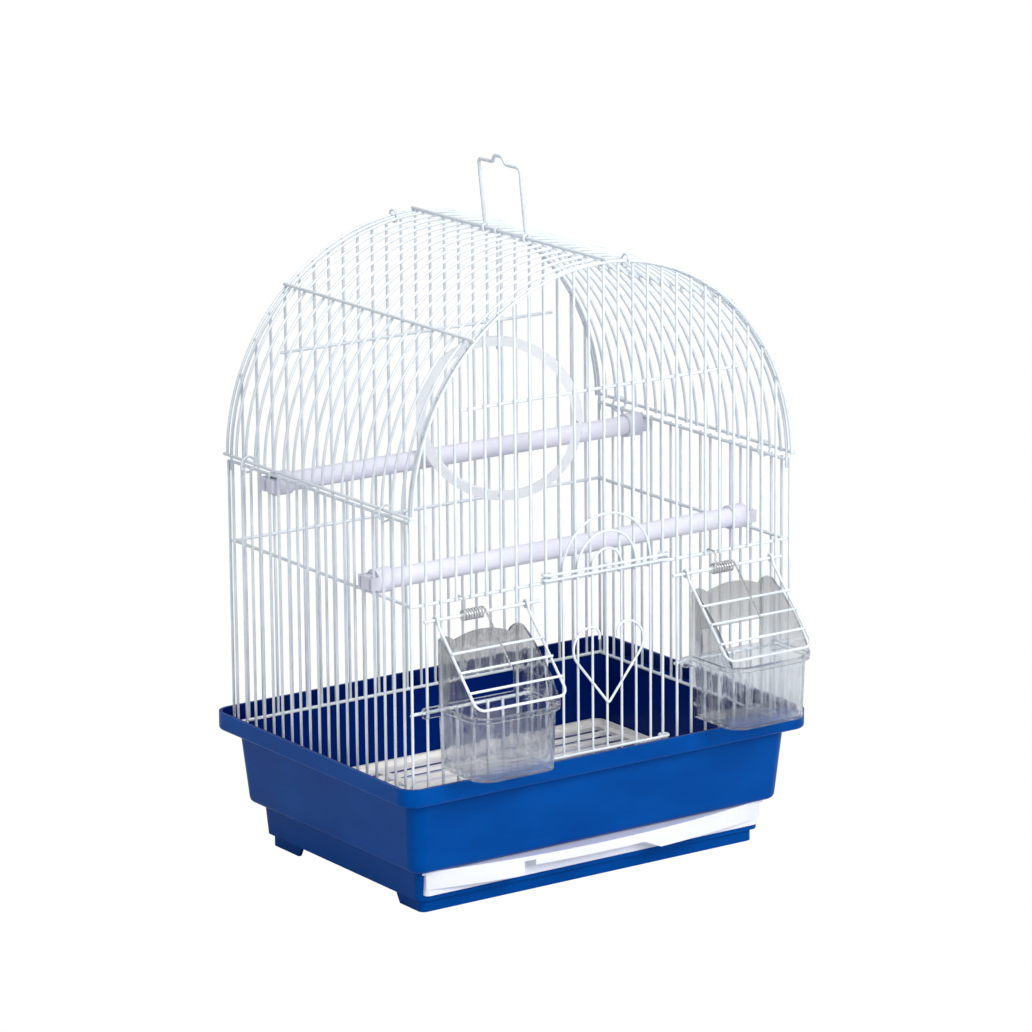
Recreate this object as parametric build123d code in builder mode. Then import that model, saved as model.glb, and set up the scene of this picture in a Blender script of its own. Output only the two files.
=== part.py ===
from build123d import *
from math import asin, atan2, cos, degrees, pi, radians, sin, sqrt
import os

# Arch-topped wire bird cage on a moulded base, in millimetres.
# X runs along the front, the front faces -Y, Z is up and the feet stand on Z = 0.
# The wire body is centred on X = 0, Y = 0 while it is drawn. FRAME_SHIFT_Y then moves
# every piece, so that the origin lies under the middle of the whole object.
FRAME_SHIFT_Y = 18.6

# Heights of the main levels
FOOT_HEIGHT = 8.0
STEP_Z = 28.0
LEDGE_Z = 77.5
RIM_TOP_Z = 86.5
MID_RAIL_Z = 195.3
TOP_RAIL_Z = 245.5
ARCH_CENTRE_Z = 246.5

# Wires have a six-sided section and touch flat to flat, so each size is half its width
# across the flats. WELD is how deep two wires sink into each other in one welded piece.
HEX = 6
HEX_TURN = 30
HEX_CORNER = 1 / cos(radians(HEX_TURN))
BAR_R = 0.9
RAIL_R = 1.0
DOOR_WIRE_R = 0.8
RUNG_R = 0.8
HANDLE_R = 1.4
WELD = 0.1

# Wire body: bar pitches along the front and along the sides
PITCH_X = 10.75
SIDE_PITCH = 10.5
CORNER_BAR = 13
HALF_W = CORNER_BAR * PITCH_X
HALF_D = 101.0
SIDE_BAR_COUNT = 19
FIRST_SIDE_BAR_Y = -92.8
RAIL_Y = HALF_D - BAR_R - RAIL_R
RAIL_X = HALF_W - BAR_R - RAIL_R
RAIL_LIFT = 0.05
BOTTOM_RAIL_Z = LEDGE_Z + RAIL_R * HEX_CORNER + RAIL_LIFT

# Arched end panels
ARCH_INSET = 1.0
ARCH_R = HALF_W - ARCH_INSET
ARCH_CHORDS = 24
ARCH_LEG = 6.5
ARCH_BAR_OVERRUN = 0.5
ARCH_BAR_END_R = ARCH_R + ARCH_BAR_OVERRUN
ARCH_RAIL_Z = 309.0
ARCH_RAIL_BAR = 9

# Barrel roof: hoops of straight chords, an odd number so that one lies flat on top.
# Its long rails lie on the outside of the hoops.
HOOP_R = 139.6
HOOP_START = 1.0
HOOP_CHORDS = 21
HOOP_COUNT = 20
FIRST_HOOP_Y = -103.2
HOOP_PITCH = -2 * FIRST_HOOP_Y / (HOOP_COUNT - 1)
ROOF_RAIL_OVERHANG = 1.3
CHORD_ANGLE = (180 - 2 * HOOP_START) / HOOP_CHORDS
ROOF_RAIL_R = HOOP_R * cos(radians(CHORD_ANGLE / 2)) + BAR_R + RAIL_R - WELD
LOW_RAIL_SLIDE = 9.4
SHOULDER_CHORD = 5
CROWN_Z = ARCH_CENTRE_Z + ROOF_RAIL_R

# Ring clips between the roof and the panels
CLIP_SIDES = 12
CLIP_WIRE = 1.35
CLIP_THICK = 1.4
SIDE_CLIP_INNER_R = 4.15
SIDE_CLIP = (139.56, 247.76)
SIDE_CLIP_Y = (-75.1, 78.4)
CROWN_CLIP_INNER_R = 3.25
CROWN_CLIP = (-101.15, 138.96)
CROWN_CLIP_ANGLE = 6.6

# Doorway, feeder windows and flaps, by bar number from the middle
DOOR_GUIDE_BAR = 4
WINDOW_BARS = (7, 10)
WINDOW_RAIL_Z = 129.4
WINDOW_RAIL_END = 5
FLAP_HINGE_Z = 186.0
FLAP_TILT = 43.0
FLAP_LENGTH = 63.5
FLAP_BEND = 6.0
FLAP_RUNGS = (24.4, 37.5, 51.5)
FLAP_INNER_X = 5.5 * PITCH_X
FLAP_OUTER_X = 11.5 * PITCH_X
FEEDER_X = (FLAP_INNER_X + FLAP_OUTER_X) / 2
HINGE_Y = -(HALF_D + BAR_R + RAIL_R)
HINGE_WIRE_X = (49.3, 132.0)
EYE_CLEARANCE = 0.06
EYE_INNER_R = RAIL_R * HEX_CORNER + EYE_CLEARANCE
FLAP_EYE_R = 2.9
FLAP_EYE_THICK = 1.8

# Closing springs on the flap hinges
COIL_R = 3.0
COIL_WIRE_R = 0.4
COIL_PITCH = 1.9
COIL_FULL_TURNS = 8
COIL_START_ANGLE = 180
SPRING_LEG = 40.0
LEFT_SPRING_X = -105.0
RIGHT_SPRING_X = 79.3
SPRING_HOOK_Z = 197.3
SPRING_HOOK_Y = -97.3
SPRING_HOOK_END_Z = 194.6
SPRING_BEND = 1.0

# Sliding door
DOOR_GAP = 0.4
DOOR_Y = -(HALF_D + BAR_R + DOOR_GAP + DOOR_WIRE_R)
DOOR_FACE_Y = DOOR_Y - DOOR_WIRE_R
DOOR_BOTTOM_Z = 82.0
DOOR_ARCH_Z = 200.4
DOOR_HAIRPINS = (1, 2, 3)
DOOR_HAIRPIN_CHORDS = (6, 8, 10)
DOOR_CROSS_WIRES = ((83.5, 86.6), (197.9, 201.0))
GUIDE_RING_CLEARANCE = 0.3
GUIDE_RING_INNER = BAR_R * HEX_CORNER + GUIDE_RING_CLEARANCE
GUIDE_RING_OUTER = 3.2
HEART_TIP_Z = 114.8
HEART_LOBE = (13.0, 151.5)
HEART_LOBE_R = 12.8
HEART_CURL_R = 6.5
HEART_CURL_END = 200
HEART_CHORDS = (8, 5)

# Feeder cups
CUP_HALF_W = 30.3
CUP_BACK_Y = -(HALF_D + BAR_R)
CUP_FRONT_Y = -145.5
CUP_BOTTOM_Z = 94.0
CUP_LIP_Z = 133.5
CUP_WALL = 1.6
CUP_DRAFT = 1.6
CUP_CORNER_R = 13.0
CUP_FLANGE = 2.5
CUP_SLOT_Z = (133.5, 149.0)
CUP_SLOT_HALF_W = 23.0
HOOD_SHOULDER_Z = 173.5
HOOD_TOP_Z = 175.5
HOOD_LOBE_DROP = 0.6
HOOD_DIP = (20.0, 171.5)
HOOD_CHEEK = (-120.5, 161.0)
HOOD_FRONT = (-141.5, 135.0)
EAR_OUTER_X = 134.0
EAR_INNER_X = 52.9
EAR_ROUND = 2.0
EAR_OVERLAP = 1.0
RIGHT_CUP_SLIP = 3.2
EAR_Z = (127.0, CUP_LIP_Z)
EAR_THICK = 2.5

# Base tub: half sizes of its rounded outlines
WALL = 2.2
RIM_CORNER_R = 12.0
TUB_CORNER_R = 9.0
BAY_CORNER_R = 6.0
FOOT_CORNER_R = 4.0
TUB_FOOT_ROUND = 4.0
RIM_EDGE_ROUND = 2.0
FLOOR_OPENING_CORNER_R = 3.0
RIM_HALF = (150.3, 110.8)
TUB_TOP_HALF = (140.2, 100.8)
TUB_FLOOR_HALF = (136.0, 96.6)
BAY_TOP_HALF = (128.6, 89.1)
BAY_FOOT_HALF = (127.2, 87.7)
FOOT_HALF = (124.0, 84.5)
TUB_FLOOR_Z = 31.0
TUB_FLOOR_OPENING = (118.0, 79.0)
BAY_FLOOR_Z = 11.5
FLANGE_UNDER_Z = 75.0
FOOT_NOTCH = ((-60.4, -55.4), (49.4, 53.9))

# Drawer
DRAWER_HALF_W = 124.4
DRAWER_FRONT_Y = -90.5
DRAWER_BACK_Y = 85.0
DRAWER_BOW = 14.0
DRAWER_LIP_HALF_W = 127.4
DRAWER_LIP_THICK = 1.9
DRAWER_FACE_HALF_W = 124.6
DRAWER_TOP_Z = 27.6
DRAWER_FACE_Z = 16.0
DRAWER_FACE_WALL = 2.0
DRAWER_FACE_ROUND = 3.0
DRAWER_GRIP = ((-60.4, 24.9), (-52.5, 21.6), (27.0, 21.6), (40.0, DRAWER_FACE_Z))
DRAWER_RIB = (-56.5, 8.0, 11.0)
DRAWER_CORNER_R = 3.0
DRAWER_WALL = 1.8
SLIDE_GAP = 0.4

# Floor grille
GRILLE_HALF = (133.2, 93.8)
GRILLE_CORNER_R = 7.0
GRILLE_THICK = 2.4
GRILLE_RIM_TOP_Z = 36.5
GRILLE_RIM_W = 2.4
GRILLE_SLOT = (80.0, 10.0)
GRILLE_PITCH = (86.0, 13.4)
GRILLE_GRID = (3, 13)

# Perches: rods whose end caps are notched for the side bars. The upper perch straddles
# one bar at each end, and the lower one fits between two.
PERCH_R = 6.0
PERCH_CAP_R = 7.5
PERCH_CAP_X = (126.0, 136.8)
PERCH_TONGUE_X = 142.6
PERCH_TONGUE = (15.0, 8.0)
PERCH_NOTCH_CLEARANCE = 0.02
PERCH_NOTCH_W = 2 * (BAR_R * HEX_CORNER + PERCH_NOTCH_CLEARANCE)
UPPER_PERCH = (FIRST_SIDE_BAR_Y + 14 * SIDE_PITCH, 239.8)
UPPER_PERCH_NOTCHES = (0.0,)
LOWER_PERCH = (FIRST_SIDE_BAR_Y + 3.5 * SIDE_PITCH, 201.8)
LOWER_PERCH_NOTCHES = (-SIDE_PITCH / 2, SIDE_PITCH / 2)

# Swing
SWING_Y = 10.2
SWING_RING_Z = 270.0
SWING_RING_R = 51.5
SWING_BAND = 5.5
SWING_THICK = 4.0
SWING_TURN = 43.0
SWING_WIRE_R = 0.8
SWING_HOLE_R = 1.05
SWING_KNOB_R = 1.7
SWING_KNOB_SEAT = 0.3
SWING_EYE_R = 2.9

# Carrying handle, stored leaning a little to the left
HANDLE_LEG_Y = (-20.8, 23.2)
HANDLE_HEIGHT = 43.5
HANDLE_HUMP = 4.5
HANDLE_HUMP_HALF = (4.2, 7.0)
HANDLE_BEND = 2.6
HANDLE_LEAN = 5.7
HANDLE_EYE_R = 3.2
HANDLE_EYE_THICK = 2.6


def wire(start, end, radius, flat):
    """Adds one straight wire, with two of its flats facing along flat."""
    run = Vector(*end) - Vector(*start)
    with BuildSketch(Plane(origin=start, x_dir=flat, z_dir=run)) as section:
        RegularPolygon(radius, HEX, major_radius=False, rotation=HEX_TURN)
    extrude(section.sketch, amount=run.length)


def bent_wire(points, radius, flat, bend=0.0):
    """Adds one wire along a polyline, mitred or rounded to the bend radius."""
    with BuildLine() as path:
        if bend > 0:
            FilletPolyline(*points, radius=bend)
        else:
            Polyline(*points)
    run = Vector(*points[1]) - Vector(*points[0])
    with BuildSketch(Plane(origin=points[0], x_dir=flat, z_dir=run)) as section:
        RegularPolygon(radius, HEX, major_radius=False, rotation=HEX_TURN)
    corner = Transition.TRANSFORMED if bend > 0 else Transition.RIGHT
    sweep(section.sketch, path=path.wires()[0], transition=corner)


def eye(centre, axis, inner, outer, thickness):
    """Adds a flat ring round a wire, centred on it."""
    with BuildSketch(Plane(origin=centre, z_dir=axis)) as washer:
        Circle(outer)
        Circle(inner, mode=Mode.SUBTRACT)
    extrude(washer.sketch, amount=thickness / 2, both=True)


def arc_points(centre, radius, first, last, chords, y):
    """Points of a run of equal chords in an upright plane, angles from +X in degrees."""
    points = []
    for step in range(chords + 1):
        angle = radians(first + (last - first) * step / chords)
        points.append((centre[0] + radius * cos(angle), y, centre[1] + radius * sin(angle)))
    return points


def bar_top(x):
    """Height at which an end panel's bar meets the arch wire."""
    return ARCH_CENTRE_Z + sqrt(max(ARCH_BAR_END_R**2 - x**2, 0))


def panel_bars(y, doorway):
    """Adds the upright bars of one end panel, cut for the openings if it has them."""
    for number in range(-CORNER_BAR, CORNER_BAR + 1):
        x = number * PITCH_X
        bottom = LEDGE_Z
        if doorway and abs(number) < DOOR_GUIDE_BAR:
            bottom = MID_RAIL_Z - RAIL_R
        if doorway and WINDOW_BARS[0] <= abs(number) <= WINDOW_BARS[1]:
            wire((x, y, LEDGE_Z), (x, y, WINDOW_RAIL_Z + RAIL_R), BAR_R, (0, 1, 0))
            bottom = MID_RAIL_Z - RAIL_R
        wire((x, y, bottom), (x, y, bar_top(x)), BAR_R, (0, 1, 0))


def panel_rails(y):
    """Adds the full-width rails of one end panel and the short one in its arch."""
    reach = RAIL_X + RAIL_R
    for z in (BOTTOM_RAIL_Z, MID_RAIL_Z):
        wire((-reach, y, z), (reach, y, z), RAIL_R, (0, 1, 0))
    reach = (ARCH_RAIL_BAR + 0.5) * PITCH_X
    wire((-reach, y, ARCH_RAIL_Z), (reach, y, ARCH_RAIL_Z), RAIL_R, (0, 1, 0))


def arch_wire(y):
    """Adds the bent wire that closes one end panel over the top."""
    centre = (0, ARCH_CENTRE_Z)
    points = arc_points(centre, ARCH_R, 0, 180, ARCH_CHORDS, y)
    foot_z = ARCH_CENTRE_Z - ARCH_LEG
    points = [(ARCH_R, y, foot_z)] + points + [(-ARCH_R, y, foot_z)]
    bent_wire(points, RAIL_R, (0, 1, 0))


def side_bars(x):
    """Adds the upright bars of one side."""
    for number in range(SIDE_BAR_COUNT):
        y = FIRST_SIDE_BAR_Y + number * SIDE_PITCH
        wire((x, y, LEDGE_Z), (x, y, TOP_RAIL_Z + RAIL_R), BAR_R, (1, 0, 0))


def side_rails(x):
    """Adds the three rails of one side, which end against the end panels' rails."""
    reach = RAIL_Y - RAIL_R
    for z in (BOTTOM_RAIL_Z, MID_RAIL_Z, TOP_RAIL_Z):
        wire((x, -reach, z), (x, reach, z), RAIL_R, (1, 0, 0))


def flap_point(x, down, out):
    """A place on a flap: down its slope from the hinge axis, and out from its plane."""
    tilt = radians(FLAP_TILT)
    y = HINGE_Y - down * sin(tilt) - out * cos(tilt)
    z = FLAP_HINGE_Z - down * cos(tilt) + out * sin(tilt)
    return (x, y, z)


def flap_out():
    """The direction in which a flap faces."""
    return (0, -cos(radians(FLAP_TILT)), sin(radians(FLAP_TILT)))


def flap_frame(side):
    """Adds one flap's hairpin frame with an eye on each leg."""
    start = (EYE_INNER_R + FLAP_EYE_R) / 2
    inner, outer = side * FLAP_INNER_X, side * FLAP_OUTER_X
    corners = ((inner, start), (inner, FLAP_LENGTH), (outer, FLAP_LENGTH), (outer, start))
    points = [flap_point(x, down, 0) for x, down in corners]
    bent_wire(points, BAR_R, flap_out(), FLAP_BEND)
    for x in (inner, outer):
        eye((x, HINGE_Y, FLAP_HINGE_Z), (1, 0, 0), EYE_INNER_R, FLAP_EYE_R, FLAP_EYE_THICK)


def flap_rungs(side):
    """Adds the cross wires on the outside of one flap."""
    out = BAR_R + RUNG_R
    for down in FLAP_RUNGS:
        start = flap_point(side * (FLAP_INNER_X - BAR_R), down, out)
        end = flap_point(side * (FLAP_OUTER_X + BAR_R), down, out)
        wire(start, end, RUNG_R, flap_out())


def biarc(start, heading, end, end_heading):
    """Adds two arcs that leave start along heading and reach end along end_heading."""
    span = end - start
    both = heading + end_heading
    square = 2 * (heading.dot(end_heading) - 1)
    linear = -2 * span.dot(both)
    reach = (-linear - sqrt(linear**2 - 4 * square * span.dot(span))) / (2 * square)
    first = start + heading * reach
    last = end - end_heading * reach
    middle = (first + last) * 0.5
    TangentArc(start, middle, tangent=heading)
    TangentArc(middle, end, tangent=(last - first).normalized())


def coil_place(start_x, quarter):
    """Place and heading on the coil after a number of quarter turns."""
    turn = COIL_START_ANGLE + quarter * 90
    angle = radians(turn)
    x = start_x + COIL_PITCH * quarter / 4
    place = Vector(x, HINGE_Y + COIL_R * cos(angle), FLAP_HINGE_Z + COIL_R * sin(angle))
    heading = Vector(COIL_PITCH / (2 * pi), -COIL_R * sin(angle), COIL_R * cos(angle))
    return place, heading.normalized()


def least_gap(path, wire_radius):
    """Least free space between parts of a bent wire more than half a turn apart."""
    step = COIL_WIRE_R
    count = int(path.length / step)
    points = [path.position_at(number / count) for number in range(count + 1)]
    apart = int(pi * COIL_R / step)
    least = path.length
    for number, point in enumerate(points):
        for other in points[number + apart:]:
            least = min(least, (other - point).length)
    return least - 2 * wire_radius


def flap_spring(start_x):
    """Adds one closing spring: hook over the mid rail, coil, and leg along the flap."""
    quarters = 4 * COIL_FULL_TURNS - 1
    tail_y = HINGE_Y - COIL_R
    hook = (
        (start_x, SPRING_HOOK_Y, SPRING_HOOK_END_Z),
        (start_x, SPRING_HOOK_Y, SPRING_HOOK_Z),
        (start_x, tail_y, SPRING_HOOK_Z),
        (start_x, tail_y, FLAP_HINGE_Z),
    )
    place, heading = Vector(*hook[-1]), Vector(0, 0, -1)
    leg_x = start_x + COIL_PITCH * (quarters / 4 + FLAP_TILT / 360)
    leg_start = Vector(*flap_point(leg_x, 0, COIL_R))
    leg_end = Vector(*flap_point(leg_x, SPRING_LEG, COIL_R))
    with BuildLine() as path:
        FilletPolyline(*hook, radius=SPRING_BEND)
        for quarter in range(1, quarters + 1):
            next_place, next_heading = coil_place(start_x, quarter)
            biarc(place, heading, next_place, next_heading)
            place, heading = next_place, next_heading
        biarc(place, heading, leg_start, (leg_end - leg_start).normalized())
        Line(leg_start, leg_end)
    spring_path = path.wires()[0]
    print("least gap of the spring to itself, mm:", round(least_gap(spring_path, COIL_WIRE_R), 2))
    with BuildSketch(Plane(origin=hook[0], x_dir=(1, 0, 0), z_dir=(0, 0, 1))) as section:
        RegularPolygon(COIL_WIRE_R, HEX, major_radius=False, rotation=HEX_TURN)
    sweep(section.sketch, path=spring_path)


def feeder_cup(side, slip):
    """Adds one clear seed cup: bowl, flange, hood with two cheeks, and ears.

    The slip is how far the cup hangs off the middle of its window.
    """
    centre_x = side * FEEDER_X + slip
    wall, slope = CUP_WALL, CUP_DRAFT
    levels = (
        (CUP_BOTTOM_Z, CUP_LIP_Z, 0, 0, Mode.ADD),
        (CUP_BOTTOM_Z + wall, CUP_LIP_Z, wall, wall, Mode.SUBTRACT),
    )
    for bottom, top, inset, back, mode in levels:
        with BuildSketch(Plane.XY.offset(bottom)) as low:
            cup_plan(centre_x, inset + slope, back)
        with BuildSketch(Plane.XY.offset(top)) as high:
            cup_plan(centre_x, inset, back)
        loft([low.sketch, high.sketch], ruled=True, mode=mode)
    with BuildSketch(Plane.XY.offset(CUP_LIP_Z - CUP_FLANGE)) as flange:
        cup_plan(centre_x, -CUP_FLANGE, 0)
        cup_plan(centre_x, wall, wall, Mode.SUBTRACT)
    extrude(flange.sketch, amount=CUP_FLANGE)
    hood_plane = Plane(origin=(centre_x, CUP_BACK_Y, 0), x_dir=(1, 0, 0), z_dir=(0, -1, 0))
    dip_x, dip_z = HOOD_DIP
    lobe_x = (CUP_HALF_W + dip_x) / 2
    with BuildSketch(hood_plane) as hood:
        with BuildLine():
            Polyline(
                (-CUP_HALF_W, HOOD_SHOULDER_Z),
                (-CUP_HALF_W, CUP_LIP_Z - wall),
                (CUP_HALF_W, CUP_LIP_Z - wall),
                (CUP_HALF_W, HOOD_SHOULDER_Z),
            )
            ThreePointArc(
                (CUP_HALF_W, HOOD_SHOULDER_Z), (lobe_x, HOOD_TOP_Z - HOOD_LOBE_DROP), (dip_x, dip_z)
            )
            ThreePointArc((dip_x, dip_z), (0, HOOD_TOP_Z), (-dip_x, dip_z))
            ThreePointArc(
                (-dip_x, dip_z), (-lobe_x, HOOD_TOP_Z - HOOD_LOBE_DROP), (-CUP_HALF_W, HOOD_SHOULDER_Z)
            )
        make_face()
        with Locations((0, (CUP_SLOT_Z[0] + CUP_SLOT_Z[1]) / 2)):
            slot_height = CUP_SLOT_Z[1] - CUP_SLOT_Z[0]
            Rectangle(2 * CUP_SLOT_HALF_W, slot_height, mode=Mode.SUBTRACT)
    extrude(hood.sketch, amount=wall)
    for end in (-1, 1):
        cheek_x = centre_x + end * CUP_HALF_W - (wall if end > 0 else 0)
        with BuildSketch(Plane.YZ.offset(cheek_x)) as cheek:
            with BuildLine():
                Polyline(
                    HOOD_FRONT,
                    (HOOD_FRONT[0], CUP_LIP_Z - wall),
                    (CUP_BACK_Y, CUP_LIP_Z - wall),
                    (CUP_BACK_Y, HOOD_SHOULDER_Z),
                    (CUP_BACK_Y - wall, HOOD_SHOULDER_Z),
                )
                ThreePointArc((CUP_BACK_Y - wall, HOOD_SHOULDER_Z), HOOD_CHEEK, HOOD_FRONT)
            make_face()
        extrude(cheek.sketch, amount=wall)
    low_x, high_x = sorted((side * EAR_INNER_X + slip, side * EAR_OUTER_X + slip))
    root = CUP_HALF_W - EAR_OVERLAP
    with BuildSketch(Plane.XZ.offset(-CUP_BACK_Y)) as ears:
        for start_x, end_x in ((low_x, centre_x - root), (centre_x + root, high_x)):
            with Locations(((start_x + end_x) / 2, (EAR_Z[0] + EAR_Z[1]) / 2)):
                Rectangle(end_x - start_x, EAR_Z[1] - EAR_Z[0])
        fillet(ears.vertices().group_by(Axis.X)[0], EAR_ROUND)
        fillet(ears.vertices().group_by(Axis.X)[-1], EAR_ROUND)
    extrude(ears.sketch, amount=EAR_THICK)


def cup_plan(centre_x, inset, back, mode=Mode.ADD):
    """Adds a cup's outline to a sketch, with rounded front corners."""
    front_y = CUP_FRONT_Y + inset
    back_y = CUP_BACK_Y - back
    half_w = CUP_HALF_W - inset
    radius = CUP_CORNER_R - inset
    with BuildLine() as outline:
        FilletPolyline(
            (centre_x - half_w, back_y),
            (centre_x - half_w, front_y),
            (centre_x + half_w, front_y),
            (centre_x + half_w, back_y),
            radius=radius,
        )
        Line((centre_x + half_w, back_y), (centre_x - half_w, back_y))
    make_face(outline.edges(), mode=mode)


def rounded_plan(half_size, corner_r, inset=0.0, mode=Mode.ADD):
    """Adds a rounded rectangle to a sketch, by its half sizes, drawn in by the inset."""
    width = 2 * (half_size[0] - inset)
    depth = 2 * (half_size[1] - inset)
    RectangleRounded(width, depth, corner_r - inset, mode=mode)


def is_rim_edge(edge):
    """Tells the rim's outer edges from those where the tub's wall meets it."""
    middle = edge.center()
    return abs(middle.X) > TUB_TOP_HALF[0] + 1 or abs(middle.Y) > TUB_TOP_HALF[1] + 1


def bowed_plan(half_w, inset, mode=Mode.ADD):
    """Adds the bowed outline of the drawer's face to a sketch."""
    with BuildLine() as outline:
        ThreePointArc(
            (-half_w, DRAWER_FRONT_Y),
            (0, DRAWER_FRONT_Y - DRAWER_BOW + inset),
            (half_w, DRAWER_FRONT_Y),
        )
        Line((half_w, DRAWER_FRONT_Y), (-half_w, DRAWER_FRONT_Y))
    make_face(outline.edges(), mode=mode)


def perch_rod(place):
    """Adds one perch's rod."""
    y, z = place
    with BuildSketch(Plane(origin=(0, y, z), z_dir=(1, 0, 0))) as section:
        Circle(PERCH_R)
    extrude(section.sketch, amount=PERCH_CAP_X[0], both=True)


def perch_caps(place, notches):
    """Adds one perch's two end caps, each with a tongue notched for the side bars."""
    y, z = place
    for side in (-1, 1):
        inner_plane = Plane(origin=(side * PERCH_CAP_X[0], y, z), z_dir=(side, 0, 0))
        with BuildSketch(inner_plane) as cap:
            Circle(PERCH_CAP_R)
        extrude(cap.sketch, amount=PERCH_CAP_X[1] - PERCH_CAP_X[0])
        end = (side * PERCH_CAP_X[1], y, z)
        with BuildSketch(Plane(origin=end, x_dir=(0, 1, 0), z_dir=(side, 0, 0))) as tongue:
            Rectangle(*PERCH_TONGUE)
            with Locations(*[(notch, 0) for notch in notches]):
                Rectangle(PERCH_NOTCH_W, PERCH_TONGUE[1], mode=Mode.SUBTRACT)
        extrude(tongue.sketch, amount=PERCH_TONGUE_X - PERCH_CAP_X[1])


def write(part, name):
    """Moves a sub-part into the shared frame, labels it and writes its STEP file."""
    placed = part.moved(Location((0, FRAME_SHIFT_Y, 0)))
    placed.label = name
    export_step(placed, f"parts/{name}.step")


os.makedirs("parts", exist_ok=True)

# Base tub: upper basin, flange and lip, drawer bay and feet, moulded in one
with BuildPart() as base_tub:
    with BuildSketch(Plane.XY.offset(STEP_Z)):
        rounded_plan(TUB_FLOOR_HALF, TUB_CORNER_R)
    with BuildSketch(Plane.XY.offset(LEDGE_Z)):
        rounded_plan(TUB_TOP_HALF, TUB_CORNER_R)
    loft(ruled=True)
    fillet(base_tub.edges().group_by(Axis.Z)[0], TUB_FOOT_ROUND)
    with BuildSketch(Plane.XY.offset(FLANGE_UNDER_Z)):
        rounded_plan(RIM_HALF, RIM_CORNER_R)
    extrude(amount=RIM_TOP_Z - FLANGE_UNDER_Z)
    with BuildSketch(Plane.XY.offset(LEDGE_Z)):
        rounded_plan(RIM_HALF, RIM_CORNER_R, WALL)
    extrude(amount=RIM_TOP_Z - LEDGE_Z, mode=Mode.SUBTRACT)
    under_edges = base_tub.edges().filter_by_position(Axis.Z, FLANGE_UNDER_Z, FLANGE_UNDER_Z)
    fillet(under_edges.filter_by(is_rim_edge), RIM_EDGE_ROUND)
    with BuildSketch(Plane.XY.offset(TUB_FLOOR_Z)):
        rounded_plan(TUB_FLOOR_HALF, TUB_CORNER_R, WALL)
    with BuildSketch(Plane.XY.offset(LEDGE_Z)):
        rounded_plan(TUB_TOP_HALF, TUB_CORNER_R, WALL)
    loft(ruled=True, mode=Mode.SUBTRACT)
    with BuildSketch(Plane.XY.offset(FOOT_HEIGHT)):
        rounded_plan(BAY_FOOT_HALF, BAY_CORNER_R)
    with BuildSketch(Plane.XY.offset(STEP_Z)):
        rounded_plan(BAY_TOP_HALF, BAY_CORNER_R)
    loft(ruled=True)
    with BuildSketch(Plane.XY):
        rounded_plan(FOOT_HALF, FOOT_CORNER_R)
    extrude(amount=FOOT_HEIGHT)
    with BuildSketch(Plane.XY):
        rounded_plan(FOOT_HALF, FOOT_CORNER_R, WALL)
    extrude(amount=FOOT_HEIGHT, mode=Mode.SUBTRACT)
    # Drawer bay, open to the front and up through the tub floor
    with BuildSketch(Plane.XY.offset(BAY_FLOOR_Z)):
        with Locations((0, (DRAWER_BACK_Y + SLIDE_GAP - RIM_HALF[1]) / 2)):
            Rectangle(2 * (DRAWER_HALF_W + SLIDE_GAP), DRAWER_BACK_Y + SLIDE_GAP + RIM_HALF[1])
    extrude(amount=STEP_Z - BAY_FLOOR_Z, mode=Mode.SUBTRACT)
    with BuildSketch(Plane.XY.offset(STEP_Z)):
        rounded_plan(TUB_FLOOR_OPENING, FLOOR_OPENING_CORNER_R)
    extrude(amount=TUB_FLOOR_Z - STEP_Z, mode=Mode.SUBTRACT)
    # The sides stand on feet at their corners, with the skirt cut away between them
    with BuildSketch(Plane.YZ):
        Polygon(
            (FOOT_NOTCH[0][0], 0),
            (FOOT_NOTCH[0][1], FOOT_HEIGHT),
            (FOOT_NOTCH[1][0], FOOT_HEIGHT),
            (FOOT_NOTCH[1][1], 0),
            align=None,
        )
    extrude(amount=BAY_FOOT_HALF[0], both=True, mode=Mode.SUBTRACT)
write(base_tub.part, "base_tub")

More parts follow.
